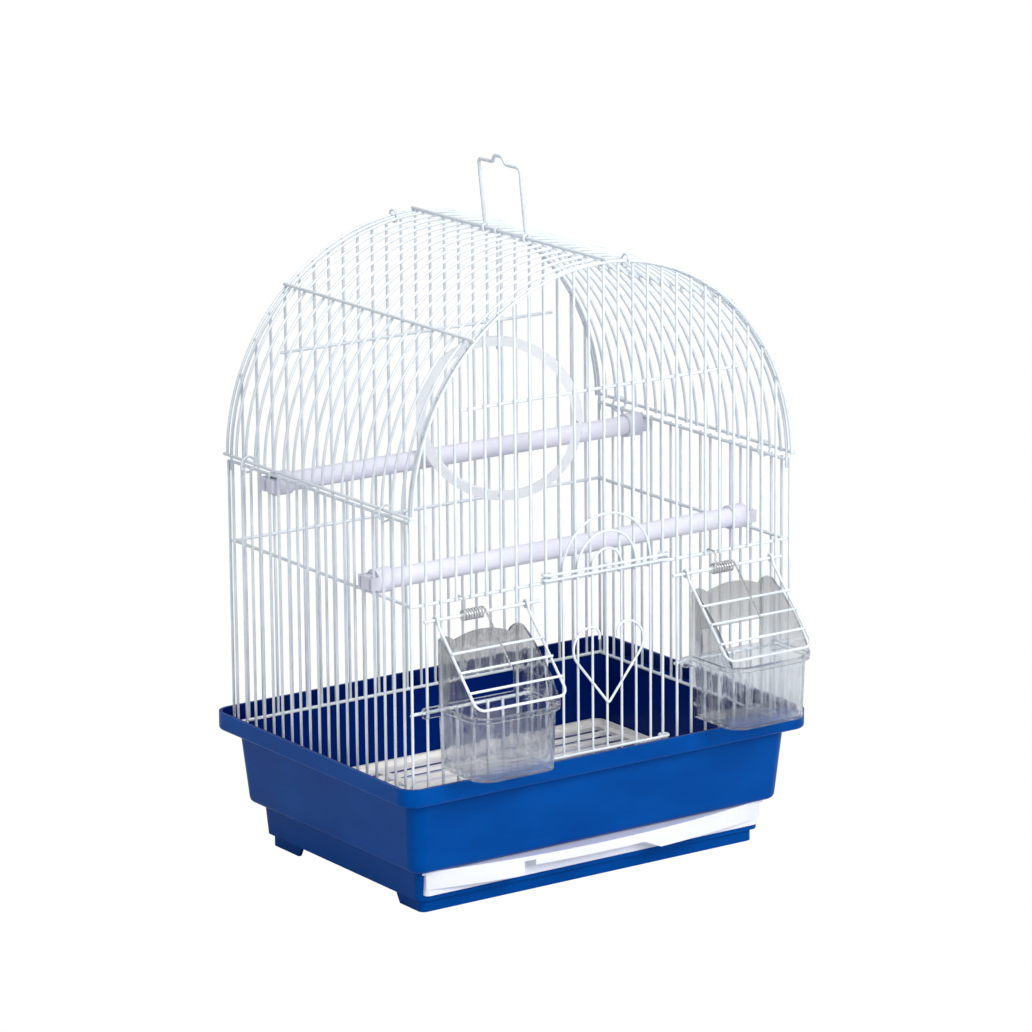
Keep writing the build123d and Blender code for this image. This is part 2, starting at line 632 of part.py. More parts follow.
# Droppings drawer: shallow tray behind a bowed face, which has a lip along its top and
# is cut away below for the fingers
with BuildPart() as drawer_tray:
    with BuildSketch(Plane.XY.offset(BAY_FLOOR_Z + SLIDE_GAP)):
        with Locations((0, (DRAWER_BACK_Y + DRAWER_FRONT_Y) / 2)):
            RectangleRounded(2 * DRAWER_HALF_W, DRAWER_BACK_Y - DRAWER_FRONT_Y, DRAWER_CORNER_R)
    extrude(amount=DRAWER_TOP_Z - BAY_FLOOR_Z - SLIDE_GAP)
    offset(amount=-DRAWER_WALL, openings=drawer_tray.faces().sort_by(Axis.Z)[-1])
    lip_z = DRAWER_TOP_Z - DRAWER_LIP_THICK
    with BuildSketch(Plane.XY.offset(lip_z)):
        bowed_plan(DRAWER_LIP_HALF_W, 0)
    extrude(amount=DRAWER_LIP_THICK)
    with BuildSketch(Plane.XY.offset(DRAWER_FACE_Z)):
        bowed_plan(DRAWER_FACE_HALF_W, 0)
        bowed_plan(DRAWER_FACE_HALF_W - DRAWER_FACE_WALL, DRAWER_FACE_WALL, Mode.SUBTRACT)
    extrude(amount=lip_z - DRAWER_FACE_Z)
    rib_x, rib_width, rib_depth = DRAWER_RIB
    rib_z = DRAWER_GRIP[1][1]
    with BuildSketch(Plane.XY.offset(rib_z)):
        with Locations((rib_x, DRAWER_FRONT_Y - rib_depth / 2)):
            Rectangle(rib_width, rib_depth)
    extrude(amount=lip_z - rib_z)
    # The finger grip: square at its left end, sloped at its right
    (left_x, step_z), (step_x, grip_z), (right_x, right_z), (slope_x, slope_z) = DRAWER_GRIP
    with BuildSketch(Plane.XZ.offset(-DRAWER_FRONT_Y)):
        with BuildLine():
            Polyline(
                (left_x - DRAWER_FACE_ROUND, DRAWER_FACE_Z - DRAWER_FACE_ROUND),
                (left_x - DRAWER_FACE_ROUND, DRAWER_FACE_Z),
            )
            RadiusArc(
                (left_x - DRAWER_FACE_ROUND, DRAWER_FACE_Z),
                (left_x, DRAWER_FACE_Z + DRAWER_FACE_ROUND),
                -DRAWER_FACE_ROUND,
            )
            Polyline(
                (left_x, DRAWER_FACE_Z + DRAWER_FACE_ROUND),
                (left_x, step_z),
                (step_x, step_z),
                (step_x, grip_z),
                (right_x, right_z),
                (slope_x, slope_z),
                (slope_x, DRAWER_FACE_Z - DRAWER_FACE_ROUND),
                (left_x - DRAWER_FACE_ROUND, DRAWER_FACE_Z - DRAWER_FACE_ROUND),
            )
        make_face()
    extrude(amount=2 * DRAWER_BOW, mode=Mode.SUBTRACT)
write(drawer_tray.part, "drawer_tray")

# Floor grille: slotted plate with a raised rim, lying on the tub's floor ledge
with BuildPart() as floor_grille:
    with BuildSketch(Plane.XY.offset(TUB_FLOOR_Z)):
        rounded_plan(GRILLE_HALF, GRILLE_CORNER_R)
        with GridLocations(*GRILLE_PITCH, *GRILLE_GRID):
            Rectangle(*GRILLE_SLOT, mode=Mode.SUBTRACT)
    extrude(amount=GRILLE_THICK)
    with BuildSketch(Plane.XY.offset(TUB_FLOOR_Z + GRILLE_THICK)):
        rounded_plan(GRILLE_HALF, GRILLE_CORNER_R)
        rounded_plan(GRILLE_HALF, GRILLE_CORNER_R, GRILLE_RIM_W, Mode.SUBTRACT)
    extrude(amount=GRILLE_RIM_TOP_Z - TUB_FLOOR_Z - GRILLE_THICK)
write(floor_grille.part, "floor_grille")

# Front panel
with BuildPart() as front_bars:
    panel_bars(-HALF_D, True)
write(front_bars.part, "front_bars")

with BuildPart() as front_rails:
    panel_rails(-RAIL_Y)
    for side in (-1, 1):
        start = (side * (WINDOW_RAIL_END * PITCH_X - RAIL_R), -RAIL_Y, WINDOW_RAIL_Z)
        end = (side * (RAIL_X + RAIL_R), -RAIL_Y, WINDOW_RAIL_Z)
        wire(start, end, RAIL_R, (0, 1, 0))
write(front_rails.part, "front_rails")

with BuildPart() as front_arch_wire:
    arch_wire(-RAIL_Y)
write(front_arch_wire.part, "front_arch_wire")

# Back panel
with BuildPart() as back_bars:
    panel_bars(HALF_D, False)
write(back_bars.part, "back_bars")

with BuildPart() as back_rails:
    panel_rails(RAIL_Y)
write(back_rails.part, "back_rails")

with BuildPart() as back_arch_wire:
    arch_wire(RAIL_Y)
write(back_arch_wire.part, "back_arch_wire")

# Side panels
with BuildPart() as left_side_bars:
    side_bars(-HALF_W)
write(left_side_bars.part, "left_side_bars")

with BuildPart() as right_side_bars:
    side_bars(HALF_W)
write(right_side_bars.part, "right_side_bars")

with BuildPart() as left_side_rails:
    side_rails(-RAIL_X)
write(left_side_rails.part, "left_side_rails")

with BuildPart() as right_side_rails:
    side_rails(RAIL_X)
write(right_side_rails.part, "right_side_rails")

# Barrel roof: one hoop, repeated along five long rails and welded to them
with BuildPart() as hoop:
    points = arc_points(
        (0, ARCH_CENTRE_Z), HOOP_R, HOOP_START, 180 - HOOP_START, HOOP_CHORDS, FIRST_HOOP_Y
    )
    facing = radians(HOOP_START + CHORD_ANGLE / 2)
    bent_wire(points, BAR_R, (cos(facing), 0, sin(facing)))

with BuildPart() as roof_panel:
    with Locations(*[(0, number * HOOP_PITCH, 0) for number in range(HOOP_COUNT)]):
        add(hoop.part)
    last_y = ROOF_RAIL_OVERHANG - FIRST_HOOP_Y
    roof_plane = Plane(origin=(0, last_y, ARCH_CENTRE_Z), x_dir=(1, 0, 0), z_dir=(0, -1, 0))
    last_chord = HOOP_CHORDS - 1
    rail_places = (
        (0, -LOW_RAIL_SLIDE),
        (SHOULDER_CHORD, 0),
        (last_chord / 2, 0),
        (last_chord - SHOULDER_CHORD, 0),
        (last_chord, LOW_RAIL_SLIDE),
    )
    with BuildSketch(roof_plane):
        for chord, slide in rail_places:
            middle_angle = HOOP_START + (chord + 0.5) * CHORD_ANGLE
            with PolarLocations(ROOF_RAIL_R, 1, start_angle=middle_angle):
                with Locations((0, slide)):
                    RegularPolygon(RAIL_R, HEX, major_radius=False, rotation=HEX_TURN)
    extrude(amount=last_y - FIRST_HOOP_Y + ROOF_RAIL_OVERHANG)
write(roof_panel.part, "roof_panel")

# Ring clips: two join each side's top rail to the roof, and one each end's arch to it
with BuildPart() as rail_clips:
    crown_x = CROWN_CLIP[1] * sin(radians(CROWN_CLIP_ANGLE))
    crown_z = ARCH_CENTRE_Z + CROWN_CLIP[1] * cos(radians(CROWN_CLIP_ANGLE))
    along = (cos(radians(CROWN_CLIP_ANGLE)), 0, sin(radians(CROWN_CLIP_ANGLE)))
    front_plane = Plane(origin=(crown_x, CROWN_CLIP[0], crown_z), z_dir=(along[0], 0, -along[2]))
    back_plane = Plane(origin=(-crown_x, -CROWN_CLIP[0], crown_z), z_dir=along)
    clips = [(front_plane, CROWN_CLIP_INNER_R), (back_plane, CROWN_CLIP_INNER_R)]
    for side in (-1, 1):
        for y in SIDE_CLIP_Y:
            place = (side * SIDE_CLIP[0], y, SIDE_CLIP[1])
            clips.append((Plane(origin=place, z_dir=(0, 1, 0)), SIDE_CLIP_INNER_R))
    for plane, inner in clips:
        with BuildSketch(plane):
            RegularPolygon(inner + CLIP_WIRE, CLIP_SIDES, major_radius=False)
            RegularPolygon(inner, CLIP_SIDES, major_radius=False, mode=Mode.SUBTRACT)
        extrude(amount=CLIP_THICK / 2, both=True)
write(rail_clips.part, "rail_clips")

# Perches
with BuildPart() as upper_perch_rod:
    perch_rod(UPPER_PERCH)
write(upper_perch_rod.part, "upper_perch_rod")

with BuildPart() as upper_perch_caps:
    perch_caps(UPPER_PERCH, UPPER_PERCH_NOTCHES)
write(upper_perch_caps.part, "upper_perch_caps")

with BuildPart() as lower_perch_rod:
    perch_rod(LOWER_PERCH)
write(lower_perch_rod.part, "lower_perch_rod")

with BuildPart() as lower_perch_caps:
    perch_caps(LOWER_PERCH, LOWER_PERCH_NOTCHES)
write(lower_perch_caps.part, "lower_perch_caps")

# Hinge wires of the feeder flaps, across the outside of the front bars
with BuildPart() as left_flap_hinge_wire:
    start = (-HINGE_WIRE_X[0], HINGE_Y, FLAP_HINGE_Z)
    wire(start, (-HINGE_WIRE_X[1], HINGE_Y, FLAP_HINGE_Z), RAIL_R, (0, 1, 0))
write(left_flap_hinge_wire.part, "left_flap_hinge_wire")

with BuildPart() as right_flap_hinge_wire:
    start = (HINGE_WIRE_X[0], HINGE_Y, FLAP_HINGE_Z)
    wire(start, (HINGE_WIRE_X[1], HINGE_Y, FLAP_HINGE_Z), RAIL_R, (0, 1, 0))
write(right_flap_hinge_wire.part, "right_flap_hinge_wire")

# Feeder cups
with BuildPart() as left_feeder_cup:
    feeder_cup(-1, 0.0)
write(left_feeder_cup.part, "left_feeder_cup")

with BuildPart() as right_feeder_cup:
    feeder_cup(1, RIGHT_CUP_SLIP)
write(right_feeder_cup.part, "right_feeder_cup")

# Feeder flaps with their springs
with BuildPart() as left_flap_frame:
    flap_frame(-1)
write(left_flap_frame.part, "left_flap_frame")

with BuildPart() as left_flap_rungs:
    flap_rungs(-1)
write(left_flap_rungs.part, "left_flap_rungs")

with BuildPart() as left_flap_spring:
    flap_spring(LEFT_SPRING_X)
write(left_flap_spring.part, "left_flap_spring")

with BuildPart() as right_flap_frame:
    flap_frame(1)
write(right_flap_frame.part, "right_flap_frame")

with BuildPart() as right_flap_rungs:
    flap_rungs(1)
write(right_flap_rungs.part, "right_flap_rungs")

with BuildPart() as right_flap_spring:
    flap_spring(RIGHT_SPRING_X)
write(right_flap_spring.part, "right_flap_spring")

# Sliding door: hairpin wires, cross wires ringed round the guide bars, and a heart
with BuildPart() as door_wires:
    for number, chords in zip(DOOR_HAIRPINS, DOOR_HAIRPIN_CHORDS):
        reach = number * PITCH_X
        points = arc_points((0, DOOR_ARCH_Z), reach, 0, 180, chords, DOOR_Y)
        points = [(reach, DOOR_Y, DOOR_BOTTOM_Z)] + points + [(-reach, DOOR_Y, DOOR_BOTTOM_Z)]
        bent_wire(points, DOOR_WIRE_R, (0, 1, 0))
    top_z = DOOR_CROSS_WIRES[1][1] + BAR_R
    wire((0, DOOR_Y, DOOR_BOTTOM_Z), (0, DOOR_Y, top_z), DOOR_WIRE_R, (0, 1, 0))
write(door_wires.part, "door_wires")

with BuildPart() as door_cross_wires:
    guide_x = DOOR_GUIDE_BAR * PITCH_X
    cross_y = DOOR_FACE_Y - BAR_R
    for low_z, high_z in DOOR_CROSS_WIRES:
        for z in (low_z, high_z):
            wire((-guide_x, cross_y, z), (guide_x, cross_y, z), BAR_R, (0, 1, 0))
        height = high_z - low_z + 2 * BAR_R
        for x in (-guide_x, guide_x):
            ring_centre = (x, -HALF_D, (low_z + high_z) / 2)
            eye(ring_centre, (0, 0, 1), GUIDE_RING_INNER, GUIDE_RING_OUTER, height)
write(door_cross_wires.part, "door_cross_wires")

with BuildPart() as door_heart:
    lobe_x, lobe_z = HEART_LOBE
    span = sqrt(lobe_x**2 + (lobe_z - HEART_TIP_Z) ** 2)
    leave = degrees(atan2(lobe_z - HEART_TIP_Z, lobe_x) - asin(HEART_LOBE_R / span)) - 90
    heart_y = DOOR_FACE_Y - DOOR_WIRE_R
    lobe_chords, curl_chords = HEART_CHORDS
    lobe = arc_points(HEART_LOBE, HEART_LOBE_R, leave, 90, lobe_chords, heart_y)
    curl_centre = (lobe_x, lobe_z + HEART_LOBE_R - HEART_CURL_R)
    curl = arc_points(curl_centre, HEART_CURL_R, 90, HEART_CURL_END, curl_chords, heart_y)
    right_half = lobe + curl[1:]
    left_half = [(-x, y, z) for x, y, z in reversed(right_half)]
    bent_wire(left_half + [(0, heart_y, HEART_TIP_Z)] + right_half, DOOR_WIRE_R, (0, 1, 0))
write(door_heart.part, "door_heart")

# Swing: hanger with an eye on the crown rail, and a ring that hangs on its knob
with BuildPart() as swing_hanger:
    eye((0, SWING_Y, CROWN_Z), (0, 1, 0), EYE_INNER_R, SWING_EYE_R, 2 * SWING_WIRE_R)
    knob_z = SWING_RING_Z + SWING_RING_R - SWING_BAND - SWING_KNOB_R + SWING_KNOB_SEAT
    top_z = CROWN_Z - (EYE_INNER_R + SWING_EYE_R) / 2
    wire((0, SWING_Y, knob_z), (0, SWING_Y, top_z), SWING_WIRE_R, (0, 1, 0))
    with Locations((0, SWING_Y, knob_z)):
        Sphere(SWING_KNOB_R)
write(swing_hanger.part, "swing_hanger")

with BuildPart() as swing_ring:
    turn = radians(SWING_TURN)
    ring_plane = Plane(
        origin=(0, SWING_Y, SWING_RING_Z),
        x_dir=(cos(turn), -sin(turn), 0),
        z_dir=(-sin(turn), -cos(turn), 0),
    )
    with BuildSketch(ring_plane):
        Circle(SWING_RING_R)
        Circle(SWING_RING_R - SWING_BAND, mode=Mode.SUBTRACT)
        with PolarLocations(SWING_RING_R - SWING_BAND / 2, 3, start_angle=180, angular_range=270):
            Circle(SWING_HOLE_R, mode=Mode.SUBTRACT)
    extrude(amount=SWING_THICK / 2, both=True)
    with Locations((0, SWING_Y, SWING_RING_Z + SWING_RING_R)):
        Cylinder(SWING_HOLE_R, 3 * SWING_BAND, mode=Mode.SUBTRACT)
write(swing_ring.part, "swing_ring")

# Carrying handle: bent wire with a raised grip and two eyes on the crown rail
with BuildPart() as carry_handle:
    near_y, far_y = HANDLE_LEG_Y
    middle_y = (near_y + far_y) / 2
    hump_top, hump_foot = HANDLE_HUMP_HALF
    start = (EYE_INNER_R + HANDLE_EYE_R) / 2
    outline = (
        (near_y, start),
        (near_y, HANDLE_HEIGHT),
        (middle_y - hump_foot, HANDLE_HEIGHT),
        (middle_y - hump_top, HANDLE_HEIGHT + HANDLE_HUMP),
        (middle_y + hump_top, HANDLE_HEIGHT + HANDLE_HUMP),
        (middle_y + hump_foot, HANDLE_HEIGHT),
        (far_y, HANDLE_HEIGHT),
        (far_y, start),
    )
    lean = radians(HANDLE_LEAN)
    points = [(-up * sin(lean), y, CROWN_Z + up * cos(lean)) for y, up in outline]
    bent_wire(points, HANDLE_R, (cos(lean), 0, sin(lean)), HANDLE_BEND)
    for y in HANDLE_LEG_Y:
        eye((0, y, CROWN_Z), (0, 1, 0), EYE_INNER_R, HANDLE_EYE_R, HANDLE_EYE_THICK)
write(carry_handle.part, "carry_handle")
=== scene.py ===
from math import asin, atan2, cos, degrees, pi, radians, sin, sqrt, tan

import bpy
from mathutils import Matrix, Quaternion, Vector


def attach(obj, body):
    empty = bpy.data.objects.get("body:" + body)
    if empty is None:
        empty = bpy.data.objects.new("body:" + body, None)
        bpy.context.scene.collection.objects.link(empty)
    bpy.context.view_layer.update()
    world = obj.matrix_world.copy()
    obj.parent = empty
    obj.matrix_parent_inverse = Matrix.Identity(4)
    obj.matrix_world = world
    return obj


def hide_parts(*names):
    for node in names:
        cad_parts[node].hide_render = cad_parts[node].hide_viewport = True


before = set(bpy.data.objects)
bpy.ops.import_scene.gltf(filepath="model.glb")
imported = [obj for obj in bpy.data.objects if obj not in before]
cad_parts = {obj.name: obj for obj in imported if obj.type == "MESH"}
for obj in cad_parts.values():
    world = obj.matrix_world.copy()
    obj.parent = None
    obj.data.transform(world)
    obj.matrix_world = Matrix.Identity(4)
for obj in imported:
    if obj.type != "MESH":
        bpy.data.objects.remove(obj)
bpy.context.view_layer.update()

MM = 0.001

# Dimensions are in millimetres. Places are drawn about the wire body's middle and moved by
# SHIFT_Y into the frame. A pair of angles is the first and last angle of a curl, in degrees.
SHIFT_Y = 18.6
LEDGE_Z = 77.5
MID_RAIL_Z = 195.3
TOP_RAIL_Z = 245.5
BAR_R = 0.9
RAIL_R = 1.0
THIN_R = 0.8
WELD = 0.1

# Wire body
PITCH_X = 10.75
SIDE_PITCH = 10.5
CORNER_BAR = 13
HALF_W = CORNER_BAR * PITCH_X
HALF_D = 101.0
SIDE_BAR_COUNT = 19
FIRST_SIDE_BAR_Y = -92.8
RAIL_Y = HALF_D - BAR_R - RAIL_R
RAIL_X = HALF_W - BAR_R - RAIL_R
BOTTOM_RAIL_Z = 78.7
SIDE_RAILS_Z = (BOTTOM_RAIL_Z, MID_RAIL_Z, TOP_RAIL_Z)

# Arched end panels
ARCH_CENTRE_Z = 246.5
ARCH_INSET = 1.0
ARCH_R = HALF_W - ARCH_INSET
ARCH_LEG = 6.5
ARCH_STEPS = 90
ARCH_BAR_OVERRUN = 0.6
ARCH_RAIL_Z = 309.0
ARCH_RAIL_BAR = 9

# Openings of the front panel, by bar number from the middle
DOOR_GUIDE_BAR = 4
WINDOW_BARS = (7, 10)
WINDOW_RAIL_Z = 129.4
WINDOW_RAIL_BAR = 5
WINDOW_RAIL_WELDS = (5, 6, 11, 12, 13)

# Roof
HOOP_R = 139.3
HOOP_TURN = (1.0, 179.0)
HOOP_STEPS = 96
HOOP_COUNT = 20
FIRST_HOOP_Y = -103.2
HOOP_PITCH = -2 * FIRST_HOOP_Y / (HOOP_COUNT - 1)
ROOF_RAIL_R = 141.018
ROOF_RAIL_ANGLES = (1.42, 47.6, 90.0, 132.4, 178.58)
ROOF_RAIL_OVERHANG = 1.3
CROWN_Z = ARCH_CENTRE_Z + ROOF_RAIL_R

# Hog rings
CLIP_R = 0.68
CLIP_SIDES = 8
CLIP_STEPS = 26
CROWN_CLIP_R = 138.96
CROWN_CLIP_Y = 101.15
CROWN_CLIP_LEAN = 6.6
CROWN_RING_R = 3.93
CROWN_RING_TURN = (-60, 285)
SIDE_CLIP = (139.56, 247.76)
SIDE_CLIP_Y = (-75.1, 78.4)
SIDE_RING_R = 4.83
SIDE_RING_TURN = (-40, 305)

# Feeder flaps and their closing springs
HINGE_Y = -(HALF_D + BAR_R + RAIL_R)
HINGE_Z = 186.0
HINGE_WIRE_X = (49.3, 132.0)
HINGE_WELDS = (5, 6, 11, 12)
FLAP_TILT_DEGREES = 43.0
FLAP_TILT = radians(FLAP_TILT_DEGREES)
FLAP_LENGTH = 63.5
FLAP_RUNGS = (24.4, 37.5, 51.5)
FLAP_X = (5.5 * PITCH_X, 11.5 * PITCH_X)
FLAP_BEND = 6.0
FLAP_BEND_STEPS = 6
FLAP_LEG_START = 4.6
FLAP_EYE_R = 2.05
FLAP_EYE_TURN = (60, 400)
FLAP_EYE_STEPS = 22
COIL_R = 3.0
COIL_WIRE_R = 0.58
COIL_SIDES = 8
COIL_PITCH = 1.9
COIL_STEPS = 200
COIL_QUARTERS = 32
COIL_TURNS = (COIL_QUARTERS * 90 - FLAP_TILT_DEGREES) / 360
SPRING_X = {"left": -105.0, "right": 79.3}
SPRING_LEG = (2, 10, 25, 40)
HOOK_Y = -97.3
HOOK_END_Z = 194.6
HOOK_TOP_Z = 197.3
HOOK_BEND = 1.0
HOOK_BEND_STEPS = 4

# Door
DOOR_GAP = 0.4
DOOR_Y = -(HALF_D + BAR_R + DOOR_GAP + THIN_R)
DOOR_FOOT_Z = 82.0
DOOR_ARCH_Z = 200.4
DOOR_ARCH_STEPS = 24
DOOR_CENTRE_TOP_Z = 201.9
DOOR_CROSS_Z = (83.5, 86.6, 197.9, 201.0)
GUIDE_LOOP_Y = -101.95
GUIDE_LOOP_TURN = (0, 318)
GUIDE_LOOP_STEPS = 20
HEART_LOBE = (13.0, 151.5)
HEART_LOBE_R = 12.8
HEART_LOBE_STEPS = 22
HEART_CURL_R = 6.5
HEART_CURL_TURN = (90, 200)
HEART_CURL_STEPS = 14
HEART_TIP_Z = 114.8
HEART_TIP_BEND = 1.3
HEART_TIP_STEPS = 6

# Swing and handle
ROUND_SIDES = 12
SWING_Y = 10.2
SWING_RING_Z = 270.0
SWING_RING_R = 51.5
SWING_BAND = 5.5
SWING_EYE_R = 2.0
SWING_EYE_TURN = (50, 400)
SWING_EYE_STEPS = 22
SWING_NECK = 5.5
SWING_MIDDLE_Z = 350
SWING_FOOT_SEAT = 1.4
HANDLE_LEG_Y = (-20.8, 23.2)
HANDLE_LEG_START = 3.4
HANDLE_HEIGHT = 43.5
HANDLE_HUMP = 4.5
HANDLE_HUMP_HALF = (4.2, 7.0)
HANDLE_BEND = 2.4
HANDLE_BEND_STEPS = 5
HANDLE_LEAN = radians(5.7)
HANDLE_WIRE_R = 1.1
HANDLE_EYE_R = 2.15
HANDLE_EYE_WIRE_R = 1.0
HANDLE_EYE_TURN = (40, 385)
HANDLE_EYE_STEPS = 24

# Wire sections. A domed end is rings of (depth, size), in the wire's radius.
WIRE_SIDES = 10
DOME_RINGS = ((0.0, 0.62), (0.22, 0.9), (0.55, 1.0))
SAME_PLACE = 0.15

# Half sizes of the weld beads and of the swing's knob
BEAD_ROWS = 4
BEAD_TURNS = 8
BEAD_END = (1.15, 0.8, 1.15)
BEAD_SIDE = (0.8, 1.15, 1.15)
BEAD_ROOF = (1.0, 1.15, 1.0)
BEAD_RUNG = (1.0, 1.0, 1.0)
BEAD_DOOR = (1.0, 0.7, 1.0)
SWING_KNOB = (1.7, 1.7, 1.5)

# The basin's inside, where a darker painted shade goes, and the smoky part of the clear cups
BASIN_HALF = (139.1, 99.7)
BASIN_CORNER_R = 9.5
BASIN_FLOOR_Z = 29.5
BASIN_DRAFT = 0.0848
RIM_LEDGE = 10.1
RIM_MARGIN = 0.1
SMOKE_Z = (120.0, 175.0)

# Edge rounding of the moulded pieces
SOFT_SEGMENTS = 2
SOFT_ANGLE = radians(35)

# Stage, in metres. The camera is fitted to the photograph and turned by degrees.
FLOOR_REACH = 30
STAGE_AIM = (0, 0, 0.2)
CAMERA_PLACE = (-1.791477, -2.600968, 1.003514)
CAMERA_TURN = (75.9639, 0.5022, -34.5667)
CAMERA_LENS = 185.27

# Sockets of the colour mix node, whose names repeat for each kind of value
MIX_FIRST = 6
MIX_SECOND = 7
MIX_RESULT = 2


# Materials


def linear(value):
    """One channel of a display colour, 0 to 255, as linear light."""
    part = value / 255
    if value < 11:
        return part / 12.92
    return ((part + 0.055) / 1.055) ** 2.4


def srgb(red, green, blue):
    """A display colour as linear light."""
    return (linear(red), linear(green), linear(blue), 1.0)


def grey(value):
    """A linear grey."""
    return (value, value, value, 1.0)


def new_material(name):
    """A material with its node tree and its surface shader."""
    material = bpy.data.materials.new(name)
    material.use_nodes = True
    tree = material.node_tree
    return material, tree, tree.nodes["Principled BSDF"]


def noise(tree, scale, detail=3.0, roughness=0.55, stretch=None):
    """A noise texture in object space, whose scale is features per metre."""
    coords = tree.nodes.new("ShaderNodeTexCoord")
    texture = tree.nodes.new("ShaderNodeTexNoise")
    texture.inputs["Scale"].default_value = scale
    texture.inputs["Detail"].default_value = detail
    texture.inputs["Roughness"].default_value = roughness
    source = coords.outputs["Object"]
    if stretch:
        mapping = tree.nodes.new("ShaderNodeMapping")
        mapping.inputs["Scale"].default_value = stretch
        tree.links.new(source, mapping.inputs["Vector"])
        source = mapping.outputs["Vector"]
    tree.links.new(source, texture.inputs["Vector"])
    return texture.outputs["Fac"]


def ramp(tree, source, *stops):
    """A colour ramp over a texture: stops are (place, colour)."""
    node = tree.nodes.new("ShaderNodeValToRGB")
    elements = node.color_ramp.elements
    while len(elements) < len(stops):
        elements.new(0.5)
    for element, (place_on_ramp, colour) in zip(elements, stops):
        element.position = place_on_ramp
        element.color = colour
    tree.links.new(source, node.inputs["Fac"])
    return node.outputs["Color"]


def bump(tree, shader, source, distance, strength, below=None):
    """Raises the surface by a texture, over any bump below it."""
    node = tree.nodes.new("ShaderNodeBump")
    node.inputs["Distance"].default_value = distance
    node.inputs["Strength"].default_value = strength
    tree.links.new(source, node.inputs["Height"])
    if below:
        tree.links.new(below, node.inputs["Normal"])
    tree.links.new(node.outputs["Normal"], shader.inputs["Normal"])
    return node.outputs["Normal"]


def flow_clouds(tree, low, high):
    """The faint clouding of moulded plastic, between two colours."""
    clouds = noise(tree, 14.0, detail=4.0, roughness=0.6, stretch=(1.0, 1.0, 2.2))
    return ramp(tree, clouds, (0.32, low), (0.68, high))


def powder_coat(name, low, high):
    """White powder coat: faint clouding, orange peel, and a soft gloss."""
    material, tree, shader = new_material(name)
    colour = ramp(tree, noise(tree, 60.0), (0.3, low), (0.7, high))
    gloss = ramp(tree, noise(tree, 220.0), (0.25, grey(0.30)), (0.75, grey(0.46)))
    tree.links.new(colour, shader.inputs["Base Color"])
    tree.links.new(gloss, shader.inputs["Roughness"])
    bump(tree, shader, noise(tree, 900.0, detail=2.0), distance=0.00006, strength=0.5)
    shader.inputs["Coat Weight"].default_value = 0.25
    shader.inputs["Coat Roughness"].default_value = 0.2
    return material


def moulded_plastic(name, low, high, rough, scatter=0.0, specular=0.5, tint=grey(1.0)):
    """Injection-moulded plastic: faint flow clouding, fine grain, and handling marks."""
    material, tree, shader = new_material(name)
    marks = noise(tree, 75.0, detail=5.0, roughness=0.7, stretch=(1.0, 1.0, 3.0))
    gloss = ramp(tree, marks, (0.35, grey(rough[0])), (0.7, grey(rough[1])))
    tree.links.new(flow_clouds(tree, low, high), shader.inputs["Base Color"])
    tree.links.new(gloss, shader.inputs["Roughness"])
    wave = bump(tree, shader, noise(tree, 22.0, detail=2.0), distance=0.0004, strength=0.25)
    grain = noise(tree, 700.0, detail=2.0)
    bump(tree, shader, grain, distance=0.00002, strength=0.3, below=wave)
    shader.inputs["IOR"].default_value = 1.49
    shader.inputs["Specular IOR Level"].default_value = specular
    shader.inputs["Specular Tint"].default_value = tint
    if scatter:
        shader.inputs["Subsurface Weight"].default_value = scatter
        shader.inputs["Subsurface Radius"].default_value = (0.006, 0.006, 0.007)
        shader.inputs["Subsurface Scale"].default_value = 0.6
    return material


def math_node(tree, operation, first, second, third=None):
    """One arithmetic step; each input is a socket or a number."""
    node = tree.nodes.new("ShaderNodeMath")
    node.operation = operation
    for socket, value in zip(node.inputs, (first, second, third)):
        if isinstance(value, (int, float)):
            socket.default_value = value
        elif value is not None:
            tree.links.new(value, socket)
    return node.outputs["Value"]


def vector_node(tree, operation, first, second=(0, 0, 0), result="Vector"):
    """One step on a place: the first input is a socket, and the second three numbers."""
    node = tree.nodes.new("ShaderNodeVectorMath")
    node.operation = operation
    tree.links.new(first, node.inputs[0])
    node.inputs[1].default_value = second
    return node.outputs[result]


def height_and_plan(tree, centre):
    """Height, and the distances along X and Y from a centre, in object space."""
    coords = tree.nodes.new("ShaderNodeTexCoord")
    centred = vector_node(tree, "SUBTRACT", coords.outputs["Object"], centre)
    split = tree.nodes.new("ShaderNodeSeparateXYZ")
    tree.links.new(vector_node(tree, "ABSOLUTE", centred), split.inputs["Vector"])
    return split.outputs["Z"], split.outputs["X"], split.outputs["Y"]


